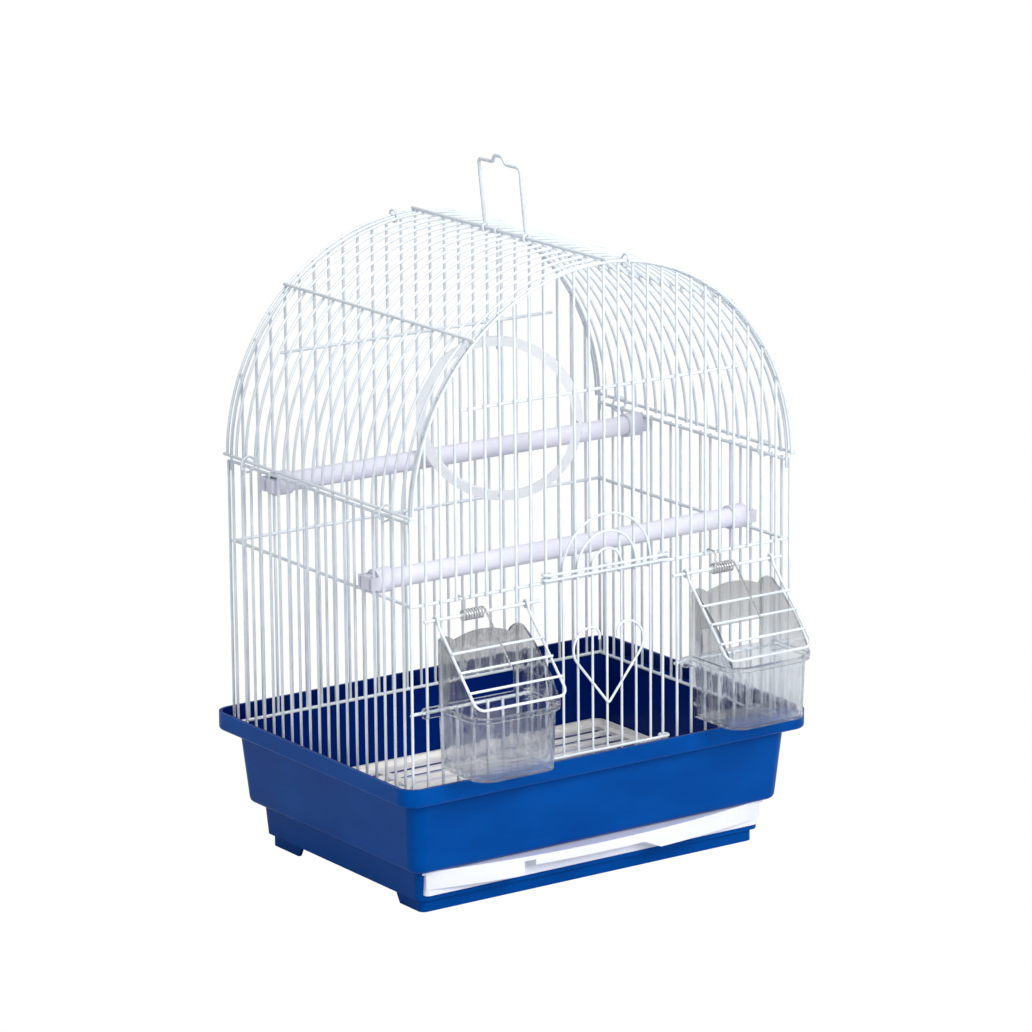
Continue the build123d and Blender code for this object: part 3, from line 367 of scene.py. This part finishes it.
def painted_shade_mask(tree):
    """1 inside the basin and its rim, where shade is painted, and 0 on the outside.

    The inside is a rounded rectangle that narrows with the walls' draft below the ledge, and
    steps out to the rim's own inner edge above it.
    """
    height, along_x, along_y = height_and_plan(tree, (0, SHIFT_Y * MM, 0))
    lean = math_node(tree, "MULTIPLY_ADD", height, -BASIN_DRAFT, BASIN_DRAFT * LEDGE_Z * MM)
    lean = math_node(tree, "MAXIMUM", lean, 0.0)
    rim = math_node(tree, "GREATER_THAN", height, (LEDGE_Z - RIM_MARGIN) * MM)
    grow = math_node(tree, "MULTIPLY_ADD", rim, -RIM_LEDGE * MM, lean)
    joined_plan = tree.nodes.new("ShaderNodeCombineXYZ")
    tree.links.new(math_node(tree, "ADD", along_x, grow), joined_plan.inputs["X"])
    tree.links.new(math_node(tree, "ADD", along_y, grow), joined_plan.inputs["Y"])
    core = tuple((half - BASIN_CORNER_R) * MM for half in BASIN_HALF) + (0,)
    beyond = vector_node(tree, "SUBTRACT", joined_plan.outputs["Vector"], core)
    beyond = vector_node(tree, "MAXIMUM", beyond)
    distance = vector_node(tree, "LENGTH", beyond, result="Value")
    within = math_node(tree, "LESS_THAN", distance, BASIN_CORNER_R * MM)
    above = math_node(tree, "GREATER_THAN", height, BASIN_FLOOR_Z * MM)
    return math_node(tree, "MULTIPLY", within, above)


def paint_basin_shade(material, low, high):
    """Painted shade: deepens the colour inside the basin, standing in for the shade its walls cast on
    each other.
    """
    tree = material.node_tree
    colour = tree.nodes["Principled BSDF"].inputs["Base Color"]
    outside = colour.links[0].from_socket
    mix = tree.nodes.new("ShaderNodeMix")
    mix.data_type = "RGBA"
    tree.links.new(painted_shade_mask(tree), mix.inputs["Factor"])
    tree.links.new(outside, mix.inputs[MIX_FIRST])
    tree.links.new(flow_clouds(tree, low, high), mix.inputs[MIX_SECOND])
    tree.links.new(mix.outputs[MIX_RESULT], colour)


def smoke(tree):
    """Clear low down, and smoky up in the hood."""
    coords = tree.nodes.new("ShaderNodeTexCoord")
    split = tree.nodes.new("ShaderNodeSeparateXYZ")
    tree.links.new(coords.outputs["Object"], split.inputs["Vector"])
    height = tree.nodes.new("ShaderNodeMapRange")
    height.inputs["From Min"].default_value = SMOKE_Z[0] * MM
    height.inputs["From Max"].default_value = SMOKE_Z[1] * MM
    tree.links.new(split.outputs["Z"], height.inputs["Value"])
    clear = (0.95, 0.965, 0.98, 1)
    hazy = (0.74, 0.74, 0.73, 1)
    smoky = (0.54, 0.535, 0.52, 1)
    return ramp(tree, height.outputs["Result"], (0.15, clear), (0.45, hazy), (1.0, smoky))


def clear_plastic(name):
    """Clear moulded polystyrene: smoky in the hood, clear in the bowl, with flow lines."""
    material, tree, shader = new_material(name)
    tree.links.new(smoke(tree), shader.inputs["Base Color"])
    shader.inputs["Transmission Weight"].default_value = 1.0
    shader.inputs["IOR"].default_value = 1.16
    shader.inputs["Alpha"].default_value = 0.7
    shader.inputs["Coat Weight"].default_value = 0.35
    shader.inputs["Coat IOR"].default_value = 1.5
    shader.inputs["Coat Roughness"].default_value = 0.03
    scuffs = noise(tree, 90.0, detail=5.0, roughness=0.7, stretch=(1.0, 1.0, 2.5))
    gloss = ramp(tree, scuffs, (0.45, grey(0.0)), (0.85, grey(0.07)))
    tree.links.new(gloss, shader.inputs["Roughness"])
    flow = noise(tree, 60.0, detail=2.0, roughness=0.5, stretch=(1.0, 1.0, 0.4))
    wave = bump(tree, shader, flow, distance=0.002, strength=0.7)
    ripple = noise(tree, 320.0, detail=2.0)
    bump(tree, shader, ripple, distance=0.00005, strength=0.4, below=wave)
    return material


def zinc(name):
    """Bright zinc-plated spring wire, with drawing lines and a faint tarnish."""
    material, tree, shader = new_material(name)
    tarnish = ramp(tree, noise(tree, 260.0), (0.3, grey(0.6)), (0.7, grey(0.82)))
    gloss = ramp(tree, noise(tree, 500.0), (0.3, grey(0.22)), (0.7, grey(0.38)))
    shader.inputs["Metallic"].default_value = 1.0
    tree.links.new(tarnish, shader.inputs["Base Color"])
    tree.links.new(gloss, shader.inputs["Roughness"])
    bump(tree, shader, noise(tree, 1500.0, detail=2.0), distance=0.00003, strength=0.4)
    return material


WIRE = powder_coat("white_powder_coat", low=srgb(212, 219, 226), high=srgb(231, 236, 241))
BLUE = moulded_plastic(
    "blue_plastic",
    low=srgb(0, 62, 136),
    high=srgb(0, 72, 152),
    rough=(0.28, 0.38),
    specular=0.12,
    tint=(0.1, 0.35, 1.0, 1.0),
)
# Painted shade: a darker navy painted into the blue inside the basin
paint_basin_shade(BLUE, low=srgb(0, 26, 96), high=srgb(0, 32, 108))
DRAWER = moulded_plastic(
    "drawer_plastic", low=srgb(226, 228, 242), high=srgb(238, 239, 250), rough=(0.3, 0.45), scatter=0.15
)
GRILLE = moulded_plastic(
    "grille_plastic", low=srgb(228, 225, 221), high=srgb(242, 239, 235), rough=(0.35, 0.5), scatter=0.1
)
PERCH = moulded_plastic(
    "perch_plastic", low=srgb(214, 213, 227), high=srgb(227, 226, 238), rough=(0.3, 0.45), scatter=0.1
)
RING = moulded_plastic(
    "swing_ring_plastic", low=srgb(230, 232, 236), high=srgb(242, 243, 246), rough=(0.25, 0.4)
)
CLEAR = clear_plastic("clear_plastic")
ZINC = zinc("zinc_plate")


# Wire work


def place(x, y, z):
    """A drawn point, in millimetres, as a place in the frame."""
    return Vector((x * MM, (y + SHIFT_Y) * MM, z * MM))


class Wires:
    """Collects round wires, with domed ends and weld beads, into one mesh."""

    def __init__(self, sides=WIRE_SIDES):
        self.sides = sides
        self.verts = []
        self.faces = []

    def ring(self, centre, across, up, radius):
        """Adds one ring of corners, and gives the number of its first."""
        first = len(self.verts)
        for number in range(self.sides):
            angle = 2 * pi * number / self.sides
            self.verts.append(centre + across * (radius * cos(angle)) + up * (radius * sin(angle)))
        return first

    def join(self, first, second):
        """Adds the faces between two rings."""
        for number in range(self.sides):
            after = (number + 1) % self.sides
            self.faces.append((first + number, first + after, second + after, second + number))

    def run(self, points, radius):
        """One wire along drawn points; its section turns as little as possible."""
        path = [place(*point) for point in points]
        r = radius * MM
        last = len(path) - 1
        tangents = []
        for number in range(last + 1):
            step = path[min(number + 1, last)] - path[max(number - 1, 0)]
            tangents.append(step.normalized())
        side = Vector((0, 0, 1)) if abs(tangents[0].z) < 0.9 else Vector((1, 0, 0))
        across = tangents[0].cross(side).normalized()
        rings = []
        for number, tangent in enumerate(tangents):
            across = (across - tangent * across.dot(tangent)).normalized()
            up = tangent.cross(across)
            if number == 0:
                for depth, size in DOME_RINGS:
                    rings.append(self.ring(path[0] + tangent * (r * depth), across, up, r * size))
            elif number == last:
                for depth, size in reversed(DOME_RINGS):
                    rings.append(self.ring(path[last] - tangent * (r * depth), across, up, r * size))
            else:
                rings.append(self.ring(path[number], across, up, r))
        for first, second in zip(rings, rings[1:]):
            self.join(first, second)
        self.faces.append(tuple(range(rings[0] + self.sides - 1, rings[0] - 1, -1)))
        self.faces.append(tuple(range(rings[-1], rings[-1] + self.sides)))

    def weld(self, x, y, z, size=BEAD_END):
        """A small bead where two wires were spot-welded."""
        centre = place(x, y, z)
        wide, deep, tall = (half * MM for half in size)
        first = len(self.verts)
        self.verts.append(centre + Vector((0, 0, tall)))
        for row in range(1, BEAD_ROWS):
            polar = pi * row / BEAD_ROWS
            for turn in range(BEAD_TURNS):
                angle = 2 * pi * turn / BEAD_TURNS
                x_part = wide * sin(polar) * cos(angle)
                y_part = deep * sin(polar) * sin(angle)
                self.verts.append(centre + Vector((x_part, y_part, tall * cos(polar))))
        last = len(self.verts)
        self.verts.append(centre - Vector((0, 0, tall)))
        bottom = first + 1 + (BEAD_ROWS - 2) * BEAD_TURNS
        for turn in range(BEAD_TURNS):
            after = (turn + 1) % BEAD_TURNS
            self.faces.append((first, first + 1 + turn, first + 1 + after))
            self.faces.append((last, bottom + after, bottom + turn))
            for row in range(BEAD_ROWS - 2):
                upper = first + 1 + row * BEAD_TURNS
                lower = upper + BEAD_TURNS
                self.faces.append((upper + turn, lower + turn, lower + after, upper + after))

    def piece(self, name, body, nodes, material=WIRE):
        """Makes the collected wires one object that stands for CAD nodes."""
        mesh = bpy.data.meshes.new(name)
        mesh.from_pydata([tuple(v) for v in self.verts], [], self.faces)
        mesh.polygons.foreach_set("use_smooth", [True] * len(mesh.polygons))
        mesh.update()
        mesh.materials.append(material)
        thing = bpy.data.objects.new(name, mesh)
        bpy.context.scene.collection.objects.link(thing)
        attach(thing, body)
        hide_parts(*nodes)


def arc(centre, radius, turn, steps, y):
    """Drawn points on an upright arc, whose angles are from +X."""
    first, last = turn
    points = []
    for step in range(steps + 1):
        angle = radians(first + (last - first) * step / steps)
        points.append((centre[0] + radius * cos(angle), y, centre[1] + radius * sin(angle)))
    return points


def ring_points(centre, across, up, radius, turn, steps):
    """Drawn points on a circle in any plane, whose angles are from across to up."""
    c, a, u = Vector(centre), Vector(across).normalized(), Vector(up).normalized()
    first, last = turn
    points = []
    for step in range(steps + 1):
        angle = radians(first + (last - first) * step / steps)
        points.append(tuple(c + a * (radius * cos(angle)) + u * (radius * sin(angle))))
    return points


def rounded(points, radius, steps):
    """A drawn polyline with its corners rounded."""
    out = [points[0]]
    for before, corner, after in zip(points, points[1:], points[2:]):
        a, b, c = Vector(before), Vector(corner), Vector(after)
        into, away = (a - b).normalized(), (c - b).normalized()
        half = into.angle(away) / 2
        reach = radius / tan(half)
        middle = b + (into + away).normalized() * (radius / sin(half))
        first, last = b + into * reach - middle, b + away * reach - middle
        axis = first.cross(last).normalized()
        turn = first.angle(last)
        for step in range(steps + 1):
            out.append(tuple(middle + Quaternion(axis, turn * step / steps) @ first))
    out.append(points[-1])
    return out


def joined(*stretches):
    """Joins stretches of wire end to end without doubled points."""
    path = [point for stretch in stretches for point in stretch]
    out = [path[0]]
    for point in path[1:]:
        if (Vector(point) - Vector(out[-1])).length > SAME_PLACE:
            out.append(point)
    return out


def arch_height(x, radius):
    """How high an arch of this radius stands above the drawn floor at x."""
    return ARCH_CENTRE_Z + sqrt(max(radius**2 - x * x, 0))


def window_rails(rails, rail_y, joint_y):
    """Adds the two short rails under the feeder windows."""
    for side in (-1, 1):
        for number in WINDOW_RAIL_WELDS:
            rails.weld(side * number * PITCH_X, joint_y, WINDOW_RAIL_Z)
        start = side * (WINDOW_RAIL_BAR * PITCH_X - RAIL_R)
        end = side * (RAIL_X + RAIL_R)
        rails.run([(start, rail_y, WINDOW_RAIL_Z), (end, rail_y, WINDOW_RAIL_Z)], RAIL_R)


def end_panel(y, name, openings):
    """Bars, rails and arch wire of one end panel; y is the bars' plane."""
    sign = 1 if y > 0 else -1
    rail_y = sign * RAIL_Y
    joint_y = sign * (HALF_D - BAR_R)
    bars = Wires()
    rails = Wires()
    arch = Wires()
    for number in range(-CORNER_BAR, CORNER_BAR + 1):
        x = number * PITCH_X
        over_door = openings and abs(number) < DOOR_GUIDE_BAR
        over_window = openings and WINDOW_BARS[0] <= abs(number) <= WINDOW_BARS[1]
        bottom = MID_RAIL_Z - BAR_R if over_door or over_window else LEDGE_Z
        if over_window:
            bars.run([(x, y, LEDGE_Z), (x, y, WINDOW_RAIL_Z + BAR_R)], BAR_R)
            rails.weld(x, joint_y, WINDOW_RAIL_Z)
        bars.run([(x, y, bottom), (x, y, arch_height(x, ARCH_R + ARCH_BAR_OVERRUN))], BAR_R)
        if not over_door:
            rails.weld(x, joint_y, BOTTOM_RAIL_Z)
        rails.weld(x, joint_y, MID_RAIL_Z)
        if abs(number) <= ARCH_RAIL_BAR:
            rails.weld(x, joint_y, ARCH_RAIL_Z)
        if abs(number) < CORNER_BAR:
            arch.weld(x, joint_y, arch_height(x, ARCH_R))
    full = RAIL_X + RAIL_R
    short = (ARCH_RAIL_BAR + 0.5) * PITCH_X
    for reach, z in ((full, BOTTOM_RAIL_Z), (full, MID_RAIL_Z), (short, ARCH_RAIL_Z)):
        rails.run([(-reach, rail_y, z), (reach, rail_y, z)], RAIL_R)
    if openings:
        window_rails(rails, rail_y, joint_y)
    points = arc((0, ARCH_CENTRE_Z), ARCH_R, (0, 180), ARCH_STEPS, rail_y)
    foot = ARCH_CENTRE_Z - ARCH_LEG
    arch.run([(ARCH_R, rail_y, foot)] + points + [(-ARCH_R, rail_y, foot)], RAIL_R)
    bars.piece(name + "_bar_wires", "cage", [name + "_bars"])
    rails.piece(name + "_rail_wires", "cage", [name + "_rails"])
    arch.piece(name + "_arch", "cage", [name + "_arch_wire"])


def side_panel(sign, name):
    """Bars and rails of one side."""
    bars = Wires()
    rails = Wires()
    x = sign * HALF_W
    rail_x = sign * RAIL_X
    for number in range(SIDE_BAR_COUNT):
        y = FIRST_SIDE_BAR_Y + number * SIDE_PITCH
        bars.run([(x, y, LEDGE_Z), (x, y, TOP_RAIL_Z + RAIL_R)], BAR_R)
        for z in SIDE_RAILS_Z:
            rails.weld(sign * (HALF_W - BAR_R), y, z, BEAD_SIDE)
    reach = RAIL_Y - RAIL_R
    for z in SIDE_RAILS_Z:
        rails.run([(rail_x, -reach, z), (rail_x, reach, z)], RAIL_R)
    bars.piece(name + "_side_bar_wires", "cage", [name + "_side_bars"])
    rails.piece(name + "_side_rail_wires", "cage", [name + "_side_rails"])


def roof():
    """Hoops under five long rails, with a bead at each crossing."""
    wires = Wires()
    hoops = [FIRST_HOOP_Y + number * HOOP_PITCH for number in range(HOOP_COUNT)]
    for y in hoops:
        wires.run(arc((0, ARCH_CENTRE_Z), HOOP_R, HOOP_TURN, HOOP_STEPS, y), BAR_R)
    start_y = hoops[0] - ROOF_RAIL_OVERHANG
    end_y = hoops[-1] + ROOF_RAIL_OVERHANG
    bead_r = (HOOP_R + BAR_R + ROOF_RAIL_R - RAIL_R) / 2
    for angle in ROOF_RAIL_ANGLES:
        across = cos(radians(angle))
        up = sin(radians(angle))
        x = ROOF_RAIL_R * across
        z = ARCH_CENTRE_Z + ROOF_RAIL_R * up
        wires.run([(x, start_y, z), (x, end_y, z)], RAIL_R)
        for y in hoops:
            wires.weld(bead_r * across, y, ARCH_CENTRE_Z + bead_r * up, BEAD_ROOF)
    wires.piece("roof_wires", "cage", ["roof_panel"])


def clips():
    """Hog rings: nearly closed rings of wire, on each end's crown and each side's rails."""
    wires = Wires(CLIP_SIDES)
    lean = radians(CROWN_CLIP_LEAN)
    for end in (1, -1):
        x = end * CROWN_CLIP_R * sin(lean)
        z = ARCH_CENTRE_Z + CROWN_CLIP_R * cos(lean)
        centre = (x, -end * CROWN_CLIP_Y, z)
        outward = (end * sin(lean), 0, cos(lean))
        ring = ring_points(centre, (0, end, 0), outward, CROWN_RING_R, CROWN_RING_TURN, CLIP_STEPS)
        wires.run(ring, CLIP_R)
    for side in (-1, 1):
        for y in SIDE_CLIP_Y:
            centre = (side * SIDE_CLIP[0], y, SIDE_CLIP[1])
            ring = ring_points(centre, (side, 0, 0), (0, 0, 1), SIDE_RING_R, SIDE_RING_TURN, CLIP_STEPS)
            wires.run(ring, CLIP_R)
    wires.piece("hog_rings", "cage", ["rail_clips"], WIRE)


def hinge_wire(name, sign):
    """The wire that a flap turns on, welded across the front bars."""
    wires = Wires()
    start, end = (sign * x for x in HINGE_WIRE_X)
    wires.run([(start, HINGE_Y, HINGE_Z), (end, HINGE_Y, HINGE_Z)], RAIL_R)
    for number in HINGE_WELDS:
        wires.weld(sign * number * PITCH_X, -(HALF_D + BAR_R), HINGE_Z)
    wires.piece(name + "_hinge_wire", "cage", [name + "_flap_hinge_wire"])


def flap_point(x, down, out):
    """A drawn point by how far it is down the flap from the hinge, and out from its plane."""
    y = HINGE_Y - down * sin(FLAP_TILT) - out * cos(FLAP_TILT)
    z = HINGE_Z - down * cos(FLAP_TILT) + out * sin(FLAP_TILT)
    return (x, y, z)


def flap_eye(x):
    """A leg's end, round the hinge wire on the outer side and back below it."""
    down = (0, -sin(FLAP_TILT), -cos(FLAP_TILT))
    out = (0, -cos(FLAP_TILT), sin(FLAP_TILT))
    return ring_points((x, HINGE_Y, HINGE_Z), down, out, FLAP_EYE_R, FLAP_EYE_TURN, FLAP_EYE_STEPS)


def flap(name, sign):
    """Hairpin frame whose ends curl round the hinge wire, with its rungs."""
    body = name + "_flap"
    inner, outer = (sign * x for x in FLAP_X)
    hairpin = [
        flap_point(inner, FLAP_LEG_START, 0),
        flap_point(inner, FLAP_LENGTH, 0),
        flap_point(outer, FLAP_LENGTH, 0),
        flap_point(outer, FLAP_LEG_START, 0),
    ]
    legs = rounded(hairpin, FLAP_BEND, FLAP_BEND_STEPS)
    frame_wires = Wires()
    frame_wires.run(joined(reversed(flap_eye(inner)), legs, flap_eye(outer)), BAR_R)
    rungs = Wires()
    rung_out = BAR_R + THIN_R - WELD
    for reach in FLAP_RUNGS:
        start = flap_point(inner - sign * BAR_R, reach, rung_out)
        end = flap_point(outer + sign * BAR_R, reach, rung_out)
        rungs.run([start, end], THIN_R)
        for x in (inner, outer):
            rungs.weld(*flap_point(x, reach, BAR_R), BEAD_RUNG)
    frame_wires.piece(name + "_flap_wire", body, [name + "_flap_frame"])
    rungs.piece(name + "_flap_rung_wires", body, [name + "_flap_rungs"])


def spring(name):
    """Closing spring: hook over the mid rail, coil on the hinge wire, leg on the flap."""
    start_x = SPRING_X[name]
    tail_y = HINGE_Y - COIL_R
    corners = [
        (start_x, HOOK_Y, HOOK_END_Z),
        (start_x, HOOK_Y, HOOK_TOP_Z),
        (start_x, tail_y, HOOK_TOP_Z),
        (start_x, tail_y, HINGE_Z),
    ]
    hook = rounded(corners, HOOK_BEND, HOOK_BEND_STEPS)
    coil = []
    for step in range(COIL_STEPS + 1):
        turns = COIL_TURNS * step / COIL_STEPS
        angle = pi + 2 * pi * turns
        y = HINGE_Y + COIL_R * cos(angle)
        z = HINGE_Z + COIL_R * sin(angle)
        coil.append((start_x + COIL_PITCH * turns, y, z))
    end_x = coil[-1][0]
    leg = [flap_point(end_x, reach, COIL_R) for reach in SPRING_LEG]
    wires = Wires(COIL_SIDES)
    wires.run(hook[:-1] + coil + leg, COIL_WIRE_R)
    wires.piece(name + "_spring_wire", name + "_flap", [name + "_flap_spring"], ZINC)


def door_hairpins():
    """Three hairpins, one inside another, and the door's centre wire."""
    wires = Wires()
    for number in range(1, DOOR_GUIDE_BAR):
        reach = number * PITCH_X
        top = arc((0, DOOR_ARCH_Z), reach, (0, 180), DOOR_ARCH_STEPS, DOOR_Y)
        wires.run([(reach, DOOR_Y, DOOR_FOOT_Z)] + top + [(-reach, DOOR_Y, DOOR_FOOT_Z)], THIN_R)
    wires.run([(0, DOOR_Y, DOOR_FOOT_Z), (0, DOOR_Y, DOOR_CENTRE_TOP_Z)], THIN_R)
    wires.piece("door_hairpins", "door", ["door_wires"])


def guide_loop(side, z, radius):
    """The end of a cross wire, round the guide bar on one side."""
    centre = (side * DOOR_GUIDE_BAR * PITCH_X, GUIDE_LOOP_Y, z)
    return ring_points(centre, (0, -1, 0), (side, 0, 0), radius, GUIDE_LOOP_TURN, GUIDE_LOOP_STEPS)


def door_cross_wires():
    """Cross wires of the door, with a loop round each guide bar."""
    wires = Wires()
    face_y = DOOR_Y - THIN_R - BAR_R + WELD
    loop_r = GUIDE_LOOP_Y - face_y
    for z in DOOR_CROSS_Z:
        left = guide_loop(-1, z, loop_r)
        right = guide_loop(1, z, loop_r)
        wires.run(list(reversed(left)) + right, BAR_R)
        for number in range(1 - DOOR_GUIDE_BAR, DOOR_GUIDE_BAR):
            wires.weld(number * PITCH_X, DOOR_Y - THIN_R, z, BEAD_DOOR)
    wires.piece("door_cross_loops", "door", ["door_cross_wires"])


def door_heart():
    """Heart bent from one wire, with curled ends; its straight sides leave the lobes smoothly."""
    y = DOOR_Y - 2 * THIN_R + WELD
    lobe_x, lobe_z = HEART_LOBE
    rise = lobe_z - HEART_TIP_Z
    span = sqrt(lobe_x**2 + rise**2)
    leave = degrees(atan2(rise, lobe_x) - asin(HEART_LOBE_R / span)) - 90
    curl_centre = (lobe_x, lobe_z + HEART_LOBE_R - HEART_CURL_R)
    right = arc(HEART_LOBE, HEART_LOBE_R, (leave, 90), HEART_LOBE_STEPS, y)
    right += arc(curl_centre, HEART_CURL_R, HEART_CURL_TURN, HEART_CURL_STEPS, y)[1:]
    left = [(-x, y, z) for x, y, z in reversed(right)]
    tip = rounded([left[-1], (0, y, HEART_TIP_Z), right[0]], HEART_TIP_BEND, HEART_TIP_STEPS)
    wires = Wires()
    wires.run(left + tip[1:-1] + right, THIN_R)
    wires.piece("door_heart_wire", "door", ["door_heart"])


def swing():
    """Hanger whose top curls round the crown rail and whose foot is upset into a knob."""
    centre = (0, SWING_Y, CROWN_Z)
    eye = ring_points(centre, (0, 0, -1), (1, 0, 0), SWING_EYE_R, SWING_EYE_TURN, SWING_EYE_STEPS)
    foot = SWING_RING_Z + SWING_RING_R - SWING_BAND - SWING_FOOT_SEAT
    stem = [(0, SWING_Y, CROWN_Z - SWING_NECK), (0, SWING_Y, SWING_MIDDLE_Z), (0, SWING_Y, foot)]
    wires = Wires(ROUND_SIDES)
    wires.run(joined(eye, stem), THIN_R)
    wires.weld(0, SWING_Y, foot, SWING_KNOB)
    wires.piece("swing_hanger_wire", "swing", ["swing_hanger"])


def handle():
    """Carrying handle with a raised grip and an eye at each foot."""
    near, far = HANDLE_LEG_Y
    middle = (near + far) / 2
    hump_top, hump_foot = HANDLE_HUMP_HALF
    outline = [
        (near, HANDLE_LEG_START),
        (near, HANDLE_HEIGHT),
        (middle - hump_foot, HANDLE_HEIGHT),
        (middle - hump_top, HANDLE_HEIGHT + HANDLE_HUMP),
        (middle + hump_top, HANDLE_HEIGHT + HANDLE_HUMP),
        (middle + hump_foot, HANDLE_HEIGHT),
        (far, HANDLE_HEIGHT),
        (far, HANDLE_LEG_START),
    ]
    lean_x, lean_z = -sin(HANDLE_LEAN), cos(HANDLE_LEAN)
    bow = [(height * lean_x, y, CROWN_Z + height * lean_z) for y, height in outline]
    up = (lean_x, 0, lean_z)
    across = (lean_z, 0, -lean_x)
    wires = Wires(ROUND_SIDES)
    wires.run(rounded(bow, HANDLE_BEND, HANDLE_BEND_STEPS), HANDLE_WIRE_R)
    for y in HANDLE_LEG_Y:
        eye = ring_points((0, y, CROWN_Z), up, across, HANDLE_EYE_R, HANDLE_EYE_TURN, HANDLE_EYE_STEPS)
        wires.run(eye, HANDLE_EYE_WIRE_R)
    wires.piece("handle_wire", "handle", ["carry_handle"])


end_panel(-HALF_D, "front", openings=True)
end_panel(HALF_D, "back", openings=False)
side_panel(-1, "left")
side_panel(1, "right")
roof()
clips()
hinge_wire("left", -1)
hinge_wire("right", 1)
flap("left", -1)
flap("right", 1)
spring("left")
spring("right")
door_hairpins()
door_cross_wires()
door_heart()
swing()
handle()


# Moulded pieces carried over from the CAD, with softened edges


def carry_over(node, material, edge=0.0):
    """Gives a CAD piece its material, and rounds its edges by a width in millimetres."""
    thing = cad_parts[node]
    for slot in thing.material_slots:
        slot.material = material
    if edge:
        soften = thing.modifiers.new("soft_edges", "BEVEL")
        soften.width = edge * MM
        soften.segments = SOFT_SEGMENTS
        soften.limit_method = "ANGLE"
        soften.angle_limit = SOFT_ANGLE


carry_over("base_tub", BLUE, edge=0.5)
carry_over("drawer_tray", DRAWER, edge=0.4)
carry_over("floor_grille", GRILLE, edge=0.3)
carry_over("left_feeder_cup", CLEAR, edge=0.7)
carry_over("right_feeder_cup", CLEAR, edge=0.7)
carry_over("upper_perch_rod", PERCH)
carry_over("lower_perch_rod", PERCH)
carry_over("upper_perch_caps", PERCH, edge=0.8)
carry_over("lower_perch_caps", PERCH, edge=0.8)
carry_over("swing_ring", RING, edge=0.8)


# Stage, light and camera

scene = bpy.context.scene
scene.view_settings.view_transform = "Standard"


def white_to_camera(tree, unseen, seen, surface):
    """Shows one shader to the camera and the other to every other ray."""
    rays = tree.nodes.new("ShaderNodeLightPath")
    mix = tree.nodes.new("ShaderNodeMixShader")
    tree.links.new(rays.outputs["Is Camera Ray"], mix.inputs["Fac"])
    tree.links.new(unseen, mix.inputs[1])
    tree.links.new(seen, mix.inputs[2])
    tree.links.new(mix.outputs["Shader"], surface)


def floor():
    """A plain pale floor that the camera sees as white."""
    mesh = bpy.data.meshes.new("floor")
    corners = [(-1, -1), (1, -1), (1, 1), (-1, 1)]
    mesh.from_pydata([(x * FLOOR_REACH, y * FLOOR_REACH, 0) for x, y in corners], [], [(0, 1, 2, 3)])
    thing = bpy.data.objects.new("floor", mesh)
    scene.collection.objects.link(thing)
    material, tree, shader = new_material("floor_white")
    shader.inputs["Base Color"].default_value = (0.72, 0.73, 0.75, 1)
    shader.inputs["Roughness"].default_value = 0.9
    shader.inputs["Specular IOR Level"].default_value = 0.1
    glow = tree.nodes.new("ShaderNodeEmission")
    surface = tree.nodes["Material Output"].inputs["Surface"]
    white_to_camera(tree, shader.outputs["BSDF"], glow.outputs["Emission"], surface)
    mesh.materials.append(material)


def studio_world():
    """White behind the object, and a soft cool fill on it."""
    world = bpy.data.worlds.new("studio")
    scene.world = world
    world.use_nodes = True
    tree = world.node_tree
    backdrop = tree.nodes["Background"]
    backdrop.inputs["Color"].default_value = (1, 1, 1, 1)
    backdrop.inputs["Strength"].default_value = 1.0
    fill = tree.nodes.new("ShaderNodeBackground")
    fill.inputs["Color"].default_value = (0.94, 0.97, 1.0, 1)
    fill.inputs["Strength"].default_value = 0.45
    surface = tree.nodes["World Output"].inputs["Surface"]
    white_to_camera(tree, fill.outputs["Background"], backdrop.outputs["Background"], surface)


def area_light(name, spot, size, power, colour=(1, 1, 1)):
    """A square lamp, in metres and watts, that faces the object."""
    lamp = bpy.data.lights.new(name, "AREA")
    lamp.energy = power
    lamp.size = size
    lamp.color = colour
    thing = bpy.data.objects.new(name, lamp)
    scene.collection.objects.link(thing)
    thing.location = spot
    thing.rotation_euler = (Vector(STAGE_AIM) - Vector(spot)).to_track_quat("-Z", "Y").to_euler()


def camera():
    """The photograph's own view."""
    lens = bpy.data.cameras.new("camera")
    lens.lens = CAMERA_LENS
    thing = bpy.data.objects.new("camera", lens)
    scene.collection.objects.link(thing)
    thing.location = CAMERA_PLACE
    thing.rotation_euler = [radians(angle) for angle in CAMERA_TURN]
    scene.camera = thing


floor()
studio_world()
area_light("key", spot=(0.1, -2.9, 1.7), size=1.4, power=84)
area_light("side", spot=(-2.4, -0.6, 1.4), size=1.2, power=3, colour=(0.9, 0.95, 1.0))
area_light("top", spot=(0, 0.2, 2.6), size=2.0, power=26)
camera()
